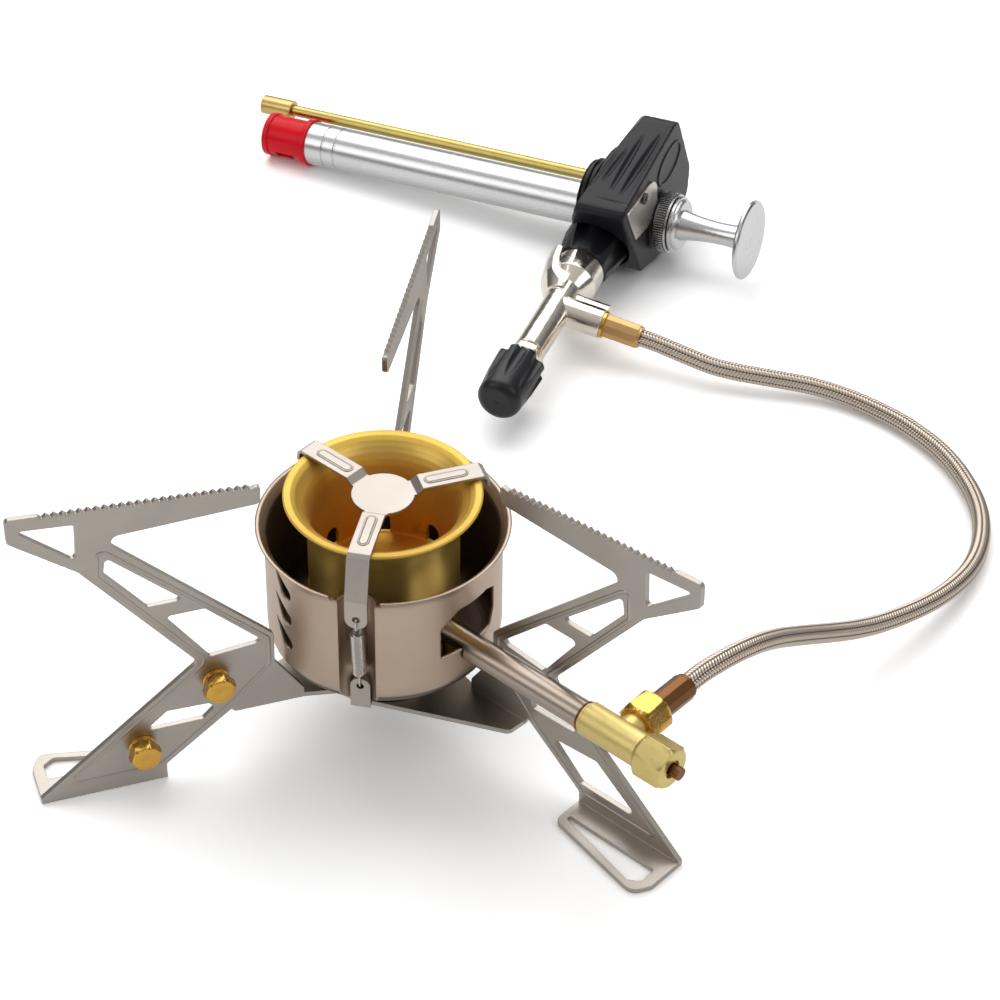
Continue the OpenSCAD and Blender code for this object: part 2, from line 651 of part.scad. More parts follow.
// Full sleeve outside the cup, with only its upper part going in through the window
module fuel_sleeve() {
    cut_top_z = sill_z + sleeve_wall_gap;
    color(pale_steel) difference() {
        translate([half_sleeve_x, 0, tube_z]) rotate([0, 90, 0])
            cylinder(r = sleeve_r, h = sleeve_end - half_sleeve_x);
        translate([half_sleeve_x - 1, 0, tube_z]) rotate([0, 90, 0])
            cylinder(r = pipe_r + 0.05, h = sleeve_end);
        translate([half_sleeve_x - 1, -sleeve_r - 1, cut_top_z - sleeve_r * 3])
            cube([sleeve_x - half_sleeve_x + 1, 2 * sleeve_r + 2, sleeve_r * 3]);
    }
}
module tee_body() {
    color(brass) difference() {
        union() {
            translate([sleeve_end, 0, tube_z]) rotate([0, 90, 0]) cylinder(r = sleeve_r + 0.2, h = 1.2);
            translate([sleeve_end + 1, 0, tube_z]) rotate([0, 90, 0]) cylinder(r = tee_r, h = tee_len - 1);
            translate([branch_x, 0, tube_z]) rotate([-90, 0, 0]) cylinder(r = branch_r, h = branch_end_y);
        }
        translate([sleeve_end - 1, 0, tube_z]) rotate([0, 90, 0]) cylinder(r = pin_r + 0.1, h = tee_len + 2);
        translate([branch_x, 0, tube_z]) rotate([-90, 0, 0]) cylinder(r = 1.2, h = branch_end_y + 1);
    }
}
module tee_end_nut() {
    x = sleeve_end + tee_len;
    color(brass) difference() {
        union() {
            translate([x, 0, tube_z]) rotate([0, 90, 0]) cylinder(r = tee_nut_af / 2 - 0.2, h = 0.8);
            translate([x + 0.6, 0, tube_z]) rotate([0, 90, 0]) linear_extrude(end_nut_len - 0.6)
                hexagon(tee_nut_af);
        }
        translate([x - 1, 0, tube_z]) rotate([0, 90, 0]) cylinder(r = pin_r + 0.1, h = end_nut_len + 2);
        translate([x + end_nut_len - 1, 0, tube_z]) rotate([0, 90, 0]) cylinder(r = pin_r + 0.6, h = 2);
    }
}
module tee_pin() {
    color(bronze) translate([branch_x + 4, 0, tube_z]) rotate([0, 90, 0])
        cylinder(r = pin_r, h = sleeve_end + tee_len + end_nut_len + 2.4 - branch_x - 4);
}
module branch_nut() {
    color(brass) translate([branch_x, branch_end_y, tube_z]) rotate([-90, 0, 0]) difference() {
        union() {
            linear_extrude(branch_nut_len - 0.6) hexagon(tee_nut_af);
            cylinder(r = tee_nut_af / 2 - 0.2, h = branch_nut_len);
        }
        translate([0, 0, -1]) cylinder(r = 1.2, h = branch_nut_len + 2);
    }
}
module ferrule() {
    difference() {
        union() {
            cylinder(r = ferrule_r - 0.3, h = ferrule_len);
            linear_extrude(ferrule_len - 0.8) circle(r = ferrule_r, $fn = 10);
        }
        translate([0, 0, -1]) cylinder(r = 1.2, h = ferrule_len + 2);
    }
}
module stove_ferrule() {
    color(bronze) translate([branch_x, branch_ferrule_y, tube_z]) rotate([-90, 0, 0]) ferrule();
}
module fuel_hose() {
    color("#8f867c") swept_tube(hose_points, hose_r, 10);
}

// Height of the underside of a leg's tongue, counted from the lowest
function tongue_bottom(level) = tongue_z + level * (leg_t + stack_gap);
// Toothed top edge of a pot support, from its tip inwards
function support_z(x) = support_h - support_fall * (support_r - x) / (support_r - support_in_r);
function teeth() =
    let (from = support_r - tooth_run, n = floor((from - support_in_r - 1) / tooth_pitch))
    [for (i = [0:n - 1], k = [0, 1])
        let (x = from - (i + k / 2) * tooth_pitch) [x, support_z(x) - tooth_h * k, 0]];
function leg_outline(level) = rounded(concat(
    [[support_r, support_h, 1.2]], teeth(),
    [[support_in_r, support_z(support_in_r), 0.8],
    [support_in_r + 0.3, support_z(support_in_r) - support_depth, 1.2],
    [crotch[0], crotch[1], 1.8], [shin_in_r, elbow_z, 1.5], [shin_in_r + 0.1, shin_in_z, 1.5],
    [plate_in_r, plate_in_z, 0.5], [plate_in_r, tongue_bottom(level), 0],
    [heel_r - 1, tongue_bottom(level), 0], [heel_r, heel_z, 0], [foot_in_r, ankle_z, 1], [foot_in_r, 0, 0],
    [foot_out_r, 0, 0], [foot_out_r, 1.6, 0], [waist_r, waist_z, 1.8], [bend[0], bend[1], 4],
    [support_r, support_h - tip_depth, 1.5]]));
// Openings in a leg: the tip's triangle, then the two along the sloping arm, held out from its inner edge
function tip_hole() = rounded([[support_r - 15.4, support_h - 4.9, 0.8],
    [support_r - 15, support_h - 15.4, 0.8], [support_r - 1.8, support_h - 3.6, 0.6]]);
function on_arm(t, out, r) =
    [shin_in_r + t * (crotch[0] - shin_in_r) + out, elbow_z + t * (crotch[1] - elbow_z), r];
function upper_slot() = rounded([[bend[0] - 6.3, bend[1] + 2.7, 0.8], [bend[0] - 5.7, bend[1] - 2.1, 0.8],
    on_arm(0.415, 13.2, 0.8), on_arm(0.415, 4.4, 0.8)]);
function lower_slot() = rounded([on_arm(0.315, 13.6, 1), on_arm(0.315, 3.8, 1),
    [waist_r - 16.1, waist_z + 2.2, 1], [waist_r - 2.8, waist_z + 0.9, 1]]);
// Openings below the notch on a plain leg, and on the leg that carries the spare jets
function shin_holes() = [
    rounded([[waist_r - 7.1, waist_z - 9, 0.6], [waist_r - 5.6, waist_z - 12.8, 0.6],
        [waist_r + 8.5, waist_z - 12.4, 0.6], [waist_r + 4.8, waist_z - 9.4, 0.6]]),
    rounded([[foot_in_r - 9.4, ankle_z + 12, 1], [foot_in_r + 4.9, ankle_z + 13, 1],
        [foot_out_r - 12.5, ankle_z + 2.8, 1], [foot_in_r + 0.3, ankle_z + 2.8, 1]])];
function jet_leg_holes() = [
    rounded([[waist_r + 14, waist_z - 18.4, 0.8], [waist_r + 8.3, waist_z - 13.4, 0.8],
        [waist_r - 1.9, waist_z - 13.7, 0.8], [waist_r - 3.3, waist_z - 15.3, 0.6],
        [waist_r - 0.4, waist_z - 18.3, 0.8]])];
// Foot loop bent level with the floor
module foot_loop() {
    edge = leg_offset + leg_t;
    linear_extrude(leg_t) difference() {
        polygon(rounded([[foot_in_r, edge, 0], [foot_in_r, -2.4, 2], [foot_out_r - 2.5, -foot_reach, 3],
            [foot_out_r, -foot_reach + 4.5, 1.5], [foot_out_r, edge, 0]]));
        polygon(rounded([[foot_in_r + foot_strip - 0.3, 0.9, 0.4], [foot_out_r - foot_strip - 0.8, 0.8, 1],
            [foot_out_r - foot_strip - 0.8, -foot_reach + 4, 1],
            [foot_out_r - foot_strip - 3.6, -foot_reach + 2.2, 1.5], [foot_in_r + foot_strip, -0.5, 0.4]]));
    }
}
// Tongue bent level from the leg's lower edge, running under the cup to the rivet
module tongue(level) {
    edge = leg_offset + leg_t;
    lean = 65;
    touch = tongue_r * [cos(lean), -sin(lean)];
    heel = [heel_r - 1.4, touch[1] + (heel_r - 1.4 - touch[0]) / tan(lean)];
    translate([0, 0, tongue_bottom(level)]) difference() {
        linear_extrude(leg_t) {
            circle(r = tongue_r);
            polygon(concat([[0, 0], touch], corner(touch, heel, [heel_r - 1, edge], 2),
                [[heel_r - 1, edge], [plate_in_r, edge], [tongue_r * 0.8, tongue_r * 0.6]]));
        }
        translate([0, 0, -1]) cylinder(r = rivet_r + rivet_fit, h = leg_t + 2);
    }
}
module leg(level, holes) {
    color(steel) difference() {
        union() {
            upright(leg_offset + leg_t, leg_t) difference() {
                polygon(leg_outline(level));
                polygon(tip_hole());
                polygon(upper_slot());
                polygon(lower_slot());
                for (h = holes) polygon(h);
            }
            foot_loop();
            tongue(level);
        }
        children();
    }
}
module fixed_leg() {
    leg(0, shin_holes());
}
// Where the spare jets screw into the left leg: distance out, then height
spare_jet_at = [[waist_r - jet_in, waist_z - jet_drop], [foot_in_r + jet_out, ankle_z + jet_rise]];
module at_spare_jets() {
    for (p = spare_jet_at) translate([p[0], leg_offset + leg_t, p[1]]) rotate([-90, 0, 0]) children();
}
module left_leg() {
    rotate([0, 0, left_az]) leg(1, jet_leg_holes()) at_spare_jets() translate([0, 0, -leg_t - 1])
        cylinder(r = jet_thread_r + 0.05, h = leg_t + 2);
}
module spare_jets() {
    color("#d79a2b") rotate([0, 0, left_az]) at_spare_jets() {
        translate([0, 0, shoulder_h]) jet();
        difference() {
            cylinder(r = jet_af / 2 - 0.3, h = shoulder_h + eps);
            translate([0, 0, -1]) cylinder(r = jet_thread_r - 0.5, h = shoulder_h + 1);
        }
    }
}
module back_leg() {
    rotate([0, 0, back_az]) leg(2, shin_holes());
}

// Pump head: the common solid of its shapes seen from the plunger's end and from the side
module head_block() {
    deep = 70;
    high = 27;
    foot_z = head_foot - pump_z;
    intersection() {
        translate([head_start, 0, 0]) rotate([90, 0, 90]) linear_extrude(head_w) polygon(rounded([
            [-14.1, -9.3, 1.5], [-3, foot_z, 3], [9, foot_z, 4], [21.4, -3, 3], [23.4, 4.9, 5],
            [14.6, 26.2, 4], [-27, 17.4, 2]]));
        translate([0, deep / 2, 0]) rotate([90, 0, 0]) linear_extrude(deep) polygon(rounded([
            [head_start, -pump_z, 0], [head_end, -pump_z, 0], [head_end, high, 1.5], [2, high, 9],
            [head_start, 10, 4]]));
    }
    intersection() {
        translate([head_start, thread_y, 0]) rotate([0, 90, 0]) cylinder(r = head_round_r, h = head_round_len);
        translate([head_start - 1, -deep / 2, foot_z]) cube([head_round_len + 2, deep, high - foot_z]);
    }
}
module pump_head() {
    color(black) difference() {
        union() {
            difference() {
                union() {
                    at_pump() head_block();
                    along_pump(head_end - eps) cylinder(r = boss_r, h = boss_h + eps);
                }
                at_valve(collar_start - collar_fit) cylinder(r = collar_r + collar_fit + 0.2, h = collar_len);
            }
            at_valve(spigot_start) cylinder(r = spigot_r, h = spigot_end - spigot_start);
        }
        along_pump(head_start - 1) cylinder(r = tube_r + 0.05, h = head_w + 3);
        along_pump(head_start - 1, rod_offset, rod_rise) cylinder(r = rod_r + 0.05, h = 7);
        at_valve(tube_r + 1) cylinder(r = 1.2, h = spigot_end);
        at_clip_screw() translate([0, 0, -4]) cylinder(r = clip_screw_r + 0.05, h = 5);
    }
}
// Threaded neck that screws into the fuel bottle, with the pump tube and the dip rod through it
module bottle_thread() {
    color(black) difference() {
        union() {
            along_pump(head_start - gasket_t - thread_len, thread_y) cylinder(r = thread_r, h = thread_len);
            along_pump(head_start - gasket_t, thread_y) cylinder(r = thread_neck_r, h = gasket_t);
        }
        along_pump(head_start - 20) cylinder(r = tube_r + 0.05, h = 24);
        along_pump(head_start - 20, rod_offset, rod_rise) cylinder(r = rod_r + 0.05, h = 24);
    }
}
module thread_gasket() {
    color("#26262a") along_pump(head_start - gasket_t, thread_y) difference() {
        cylinder(r = thread_r + 0.2, h = gasket_t);
        translate([0, 0, -1]) cylinder(r = thread_neck_r + 0.05, h = gasket_t + 2);
    }
}
module pump_tube() {
    color(aluminium) difference() {
        along_pump(tube_in) cylinder(r = tube_r, h = tube_len);
        along_pump(tube_in - 1) cylinder(r = tube_bore, h = tube_len + 2);
        for (x = [5.6, 9.6]) along_pump(tube_in + x) difference() {
            cylinder(r = tube_r + 1, h = 0.6);
            translate([0, 0, -1]) cylinder(r = tube_r - 0.25, h = 3);
        }
    }
}
// Red plug in the tube's end that lets air out into the bottle and nothing back
module check_valve() {
    cage_r = tube_r - 0.4;
    color("#d3121b") difference() {
        union() {
            along_pump(tube_in - check_ring_t) cylinder(r = check_ring_r, h = check_ring_t);
            along_pump(tube_in - check_len) cylinder(r = cage_r, h = check_len);
            along_pump(tube_in - check_len) cylinder(r = tube_r, h = 1.6);
            along_pump(tube_in - eps) cylinder(r = tube_bore - 0.03, h = check_plug);
        }
        along_pump(tube_in - check_len - 1) cylinder(r = cage_r - 1.6, h = check_len - 3);
        along_pump(tube_in - check_len) cylinder(r = 1.2, h = check_len + check_plug + 1);
        for (a = [130, 310]) along_pump(tube_in - check_len + 4) rotate([0, 0, a])
            translate([cage_r - 3, -1.6, 0]) cube([6, 3.2, 6]);
    }
}
module check_ball() {
    color(pale_steel) along_pump(tube_in - 4) translate([0, 0, -2.4]) sphere(r = 2.2);
}
module dip_rod() {
    color(brass) along_pump(rod_tip_x + filter_len - 4, rod_offset, rod_rise) difference() {
        cylinder(r = rod_r, h = head_start + 5 - rod_tip_x - filter_len + 4);
        translate([0, 0, -1]) cylinder(r = rod_r - 0.6, h = 200);
    }
}
module rod_filter() {
    color(bronze) along_pump(rod_tip_x, rod_offset, rod_rise) difference() {
        cylinder(r = filter_r, h = filter_len);
        translate([0, 0, filter_len - 4]) cylinder(r = rod_r + 0.03, h = 5);
        translate([0, 0, -1]) cylinder(r = filter_r - 1.2, h = 4);
    }
}
module knurled_nut() {
    color(aluminium) along_pump(knurl_x) difference() {
        cylinder(r = knurl_r, h = knurl_len);
        translate([0, 0, -1]) cylinder(r = tube_r + 0.05, h = tube_out - knurl_x + 1);
        cylinder(r = plunger_rod_r + plunger_fit, h = knurl_len + 1);
    }
}
// Thin steel plate screwed to the head's end beside the knurled nut
module at_clip() {
    at_pump() translate([head_end, 0, 0]) children();
}
module at_clip_screw() {
    at_clip() translate([0, -13.2, 15.6]) rotate([0, 90, 0]) children();
}
module clip_plate() {
    color(pale_steel) difference() {
        at_clip() rotate([90, 0, 90]) linear_extrude(clip_t) polygon(rounded([
            [-3.4, 17.4, 4.5], [-24.4, 16.6, 0.6], [-18.8, 5, 0.5], [-3, 3.6, 1]]));
        at_clip_screw() translate([0, 0, -1]) cylinder(r = clip_screw_r + 0.1, h = 3);
        along_pump(head_end - 1) cylinder(r = boss_r + 0.3, h = clip_t + 2);
    }
}
module clip_screw() {
    color(steel) at_clip_screw() difference() {
        union() {
            translate([0, 0, -3.6]) cylinder(r = clip_screw_r, h = 3.7 + clip_t);
            translate([0, 0, clip_t]) cylinder(r = clip_screw_r + 0.6, h = 0.7);
        }
        for (a = [0, 90]) rotate([0, 0, a]) translate([-0.9, -0.2, clip_t + 0.3]) cube([1.8, 0.4, 1]);
    }
}

// Turned handle: flange, waisted neck and end disc, with the rod screwed into it
module plunger_handle() {
    waist = [for (i = [0:10])
        let (t = i / 10) [3 + 1.5 * pow(1 - t, 3) + 0.8 * pow(t, 4), flange_t + neck_len * t]];
    flange_r = knurl_r - 0.5;
    disc_z = flange_t + neck_len;
    color(aluminium) along_pump(flange_x) difference() {
        rotate_extrude() polygon(concat([[0, 0], [flange_r, 0], [flange_r, flange_t * 0.4],
            [flange_r - 0.6, flange_t * 0.45], [flange_r - 0.6, flange_t - 0.5], [flange_r - 1.1, flange_t]],
            waist, [[disc_r - 0.6, disc_z], [disc_r, disc_z + 0.5], [disc_r, disc_z + disc_t - 0.5],
            [disc_r - 0.6, disc_z + disc_t], [0, disc_z + disc_t - 0.2]]));
        translate([0, 0, -1]) cylinder(r = plunger_rod_r + 0.02, h = 5);
    }
}
module plunger_rod() {
    start = piston_x + piston_len - 3;
    color(pale_steel) along_pump(start) cylinder(r = plunger_rod_r, h = flange_x + 4 - start);
}
module piston_cup() {
    color("#3a2a20") along_pump(piston_x) difference() {
        cylinder(r = tube_bore - plunger_fit, h = piston_len);
        translate([0, 0, -1]) cylinder(r = tube_bore - plunger_fit - 1.2, h = 3.5);
        translate([0, 0, piston_len - 3]) cylinder(r = plunger_rod_r + 0.02, h = 4);
    }
}

// Fluted nut that clamps the valve to the pump head
module coupling_collar() {
    flutes = 8;
    flute_r = 3.4;
    color(black) at_valve(collar_start) difference() {
        rotate_extrude() polygon([[collar_bore, 0], [collar_r - 0.8, 0], [collar_r, 0.8],
            [collar_r, collar_len * 0.4], [collar_end_r, collar_len - 0.6], [collar_end_r - 0.6, collar_len],
            [collar_bore, collar_len]]);
        for (i = [0:flutes - 1]) rotate([0, 0, (i + 0.5) * 360 / flutes])
            translate([collar_end_r + flute_r - 0.5, 0, collar_len * 0.12])
                cylinder(r = flute_r, h = collar_len);
    }
}
module coupling_seal() {
    color("#141416") at_valve(spigot_end) rotate_extrude() translate([spigot_r - 1.6, 0.5])
        circle(r = 0.5, $fn = 24);
}
// Nickel-plated casting: cup, curved wing, stem and two-lobed hose branch
module valve_body() {
    neck_start = spigot_end + 1;
    stem_start = cup_start + cup_len - 1;
    wing_r = valve_cup_r + 2.6;
    wing_w = 12;
    lobe_r = 4.2;
    rib_r = 2.4;
    rib_v = valve_branch - 5.2;
    color(nickel) difference() {
        union() {
            at_valve(neck_start) cylinder(r = spigot_r - 0.1, h = cup_start - neck_start + eps);
            at_valve(cup_start) rotate_extrude() polygon([[0, 0], [valve_cup_r - 0.4, 0], [valve_cup_r, 0.4],
                [valve_cup_r, cup_len * 0.75], [stem_r, cup_len + 2], [0, cup_len + 2]]);
            at_valve(stem_start) cylinder(r = stem_r, h = stem_end - stem_start);
            at_valve(cup_start) intersection() {
                rotate_extrude() polygon([[wing_r - 1.3, 0], [wing_r, 0], [wing_r - 0.5, 5],
                    [wing_r - 1.6, 10.5], [stem_r + 0.8, 16], [0, 18], [0, 13.5], [stem_r, 12],
                    [wing_r - 3, 9.5], [wing_r - 1.9, 5]]);
                translate([-wing_r - 1, -wing_w / 2, -1]) cube([wing_r + 1, wing_w, 20]);
            }
            along_branch() cylinder(r = lobe_r, h = branch_len);
            at_valve(rib_v) rotate([0, 90, 0]) cylinder(r = rib_r, h = branch_len);
            at_valve(rib_v) translate([0, -2.2, 0]) cube([branch_len, 4.4, valve_branch - rib_v]);
        }
        at_valve(stem_end - 16) cylinder(r = spindle_r + spindle_fit, h = 17);
        along_branch(3) cylinder(r = 1.2, h = branch_len);
        at_valve(neck_start - 1) cylinder(r = 1.2, h = valve_branch - neck_start);
    }
}
module gland_nut() {
    color(nickel) at_valve(stem_end) difference() {
        union() {
            cylinder(r = gland_af / 2 - 0.1, h = gland_len);
            translate([0, 0, 0.5]) linear_extrude(gland_len - 1) hexagon(gland_af);
        }
        translate([0, 0, -1]) cylinder(r = spindle_r + spindle_fit, h = gland_len + 2);
    }
}
module branch_ring() {
    color("#d8a63c") along_branch(branch_len) difference() {
        cylinder(r = ferrule_r + 0.5, h = ring_t);
        translate([0, 0, -1]) cylinder(r = 1.2, h = ring_t + 2);
    }
}
module valve_ferrule() {
    color("#a5743a") along_branch(branch_len + ring_t) ferrule();
}
module valve_spindle() {
    color(pale_steel) at_valve(stem_end - 14) difference() {
        cylinder(r = spindle_r, h = 14 + gland_len + knob_gap + 7);
        for (z = [8, 9.4]) translate([0, 0, z]) difference() {
            cylinder(r = spindle_r + 1, h = 0.7);
            translate([0, 0, -1]) cylinder(r = spindle_r - 0.5, h = 3);
        }
    }
}
module spindle_seal() {
    color("#141416") at_valve(stem_end - 14) for (z = [8.35, 9.75]) translate([0, 0, z])
        rotate_extrude() translate([spindle_r - 0.2, 0]) circle(r = 0.24, $fn = 24);
}
// Tapered knob with eight flutes that run out towards its end
module control_knob() {
    flutes = 8;
    flute_r = 1.9;
    flute_depth = 1.7;
    flute_lean = 3.4;
    end_r = 2.4;
    color(black) at_valve(knob_start) difference() {
        rotate_extrude() polygon(concat([[0, 0], [knob_r - 0.6, 0], [knob_r, 0.6],
            [knob_r - 0.2, knob_len * 0.45], [knob_r - 0.7, knob_len * 0.78]],
            arc([knob_r - 0.8 - end_r, knob_len - end_r], end_r, 10, 90, 5), [[0, knob_len - 0.2]]));
        for (i = [0:flutes - 1]) rotate([0, 0, i * 360 / flutes])
            translate([knob_r + flute_r - flute_depth, 0, -1]) rotate([0, flute_lean, 0])
                cylinder(r = flute_r, h = knob_len);
        translate([0, 0, -1]) cylinder(r = spindle_r + 0.02, h = 8);
        translate([0, 0, -1]) cylinder(r = spindle_r + 1.6, h = 3);
    }
}

at_rest() cup();
at_rest() base_plate();
at_rest() pivot_spacer();
at_rest() pivot_rivet();
at_rest() burner_bell();
at_rest() priming_pad();
at_rest() jet_block();
at_rest() burner_jet();
at_rest() flame_spreader();
at_rest() strap_spring();
at_rest() fuel_pipe();
at_rest() fuel_sleeve();
at_rest() tee_body();
at_rest() tee_end_nut();
at_rest() tee_pin();
at_rest() branch_nut();
at_rest() stove_ferrule();
at_rest() fuel_hose();
at_rest() fixed_leg();
at_rest() left_leg();
at_rest() spare_jets();
at_rest() back_leg();
at_rest() pump_head();
at_rest() bottle_thread();
at_rest() thread_gasket();
at_rest() pump_tube();
at_rest() check_valve();
at_rest() check_ball();
at_rest() dip_rod();
at_rest() rod_filter();
at_rest() knurled_nut();
at_rest() clip_plate();
at_rest() clip_screw();
at_rest() plunger_handle();
at_rest() plunger_rod();
at_rest() piston_cup();
at_rest() coupling_collar();
at_rest() coupling_seal();
at_rest() valve_body();
at_rest() gland_nut();
at_rest() branch_ring();
at_rest() valve_ferrule();
at_rest() valve_spindle();
at_rest() spindle_seal();
at_rest() control_knob();
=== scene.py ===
"""Folding camping stove with its hose, valve and bottle pump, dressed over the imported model."""
import math

import bpy
from mathutils import Matrix, Vector


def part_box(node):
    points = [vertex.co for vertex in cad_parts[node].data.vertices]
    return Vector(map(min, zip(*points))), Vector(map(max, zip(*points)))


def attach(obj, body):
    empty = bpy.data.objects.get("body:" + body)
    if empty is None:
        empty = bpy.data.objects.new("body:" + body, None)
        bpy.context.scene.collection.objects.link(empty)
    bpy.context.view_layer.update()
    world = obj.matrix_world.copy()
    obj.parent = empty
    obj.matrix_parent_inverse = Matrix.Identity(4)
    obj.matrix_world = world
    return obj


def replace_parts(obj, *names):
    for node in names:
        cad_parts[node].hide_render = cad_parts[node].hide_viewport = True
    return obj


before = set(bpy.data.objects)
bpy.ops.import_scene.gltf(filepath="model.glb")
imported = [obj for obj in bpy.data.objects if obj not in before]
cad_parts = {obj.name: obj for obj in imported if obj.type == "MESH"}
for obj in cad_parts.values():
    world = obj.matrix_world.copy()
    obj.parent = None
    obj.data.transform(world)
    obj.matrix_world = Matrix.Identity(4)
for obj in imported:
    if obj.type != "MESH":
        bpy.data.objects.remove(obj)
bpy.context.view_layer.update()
scene = bpy.context.scene
MM = 0.001


def rot(degrees, axis):
    """A turn about an axis."""
    return Matrix.Rotation(math.radians(degrees), 4, axis)


# The burner's axis on the floor, in metres. The frames below are in millimetres
bell_low, bell_high = (Vector(corner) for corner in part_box("burner_bell"))
BURNER = Vector(((bell_low.x + bell_high.x) / 2, (bell_low.y + bell_high.y) / 2, 0))
STOVE = Matrix.Translation(BURNER / MM)
# The pump leans on the floor, and the valve lies level beside it
PUMP_AT, PUMP_TURN, PUMP_LEAN = (-85.23, 188.85, 12.4), 16.64, 2.96
VALVE_TURN, VALVE_DIP = 20.75, 8
PUMP = STOVE @ Matrix.Translation(PUMP_AT) @ rot(PUMP_TURN, "Z") @ rot(-PUMP_LEAN, "Y")
VALVE = STOVE @ Matrix.Translation(PUMP_AT) @ rot(VALVE_TURN, "Z") @ rot(90, "X") @ rot(-VALVE_DIP, "Z")
# Bearings of the legs and of the spreader's arms, and the front arm's side
LEG_TURNS = {"fixed_leg": 0, "left_leg": 240, "back_leg": 120}
ARM_TURNS = {"front": -60, "right": 60, "left": 180}
SPRING_SIDE = STOVE @ rot(ARM_TURNS["front"], "Z")
# Inner and outer face of a leg, and the height of the fuel tube
LEG_INNER, LEG_OUTER = 6.1, 7.4
TUBE_Z = 37


def aim_camera():
    """Camera at the photograph's place: a long lens, looking down at about 40 degrees."""
    lens, sensor, stands_at = 115.2, 36, Vector((0.39862, -0.41369, 0.54171))
    down, roll, yaw = (math.radians(a) for a in (39.628, -0.735, 41.22))
    turn = Matrix.Rotation(yaw, 3, "Z")
    ahead = turn @ Vector((0, math.cos(down), -math.sin(down)))
    level_up = turn @ Vector((0, math.sin(down), math.cos(down)))
    level_right = turn @ Vector((1, 0, 0))
    right = math.cos(roll) * level_right - math.sin(roll) * level_up
    up = math.sin(roll) * level_right + math.cos(roll) * level_up
    camera = bpy.data.objects.new("camera", bpy.data.cameras.new("camera"))
    camera.data.lens, camera.data.sensor_width = lens, sensor
    stand = Matrix((right, up, -ahead)).transposed().to_4x4()
    stand.translation = BURNER + stands_at
    camera.matrix_world = stand
    scene.collection.objects.link(camera)
    scene.camera = camera


class Wire:
    """A node's output. Arithmetic on it adds Math nodes to its tree."""

    def __init__(self, owner, socket):
        self.owner, self.socket = owner, socket

    def math(self, operation, *values):
        return self.owner.node("ShaderNodeMath", {"operation": operation}, dict(enumerate(values)))

    def __add__(self, other): return self.math("ADD", self, other)
    def __radd__(self, other): return self.math("ADD", other, self)
    def __sub__(self, other): return self.math("SUBTRACT", self, other)
    def __rsub__(self, other): return self.math("SUBTRACT", other, self)
    def __mul__(self, other): return self.math("MULTIPLY", self, other)
    def __rmul__(self, other): return self.math("MULTIPLY", other, self)
    def __truediv__(self, other): return self.math("DIVIDE", self, other)
    def __rtruediv__(self, other): return self.math("DIVIDE", other, self)
    def __pow__(self, other): return self.math("POWER", self, other)
    def __abs__(self): return self.math("ABSOLUTE", self)


class Nodes:
    """Writes nodes into one tree."""

    def __init__(self, tree):
        self.tree = tree

    def node(self, kind, settings=None, sockets=None, out=0):
        """A node with its settings, then its sockets' values or links. Gives back one of its outputs."""
        made = self.tree.nodes.new(kind)
        for key, value in (settings or {}).items():
            if key == "stops":
                ramp = made.color_ramp.elements
                while len(ramp) < len(value):
                    ramp.new(1)
                for stop, (at, colour) in zip(ramp, value):
                    stop.position, stop.color = at, colour
            else:
                setattr(made, key, value)
        for key, value in (sockets or {}).items():
            if isinstance(value, Wire):
                self.tree.links.new(value.socket, made.inputs[key])
            else:
                made.inputs[key].default_value = value
        return Wire(self, made.outputs[out]) if made.outputs else made


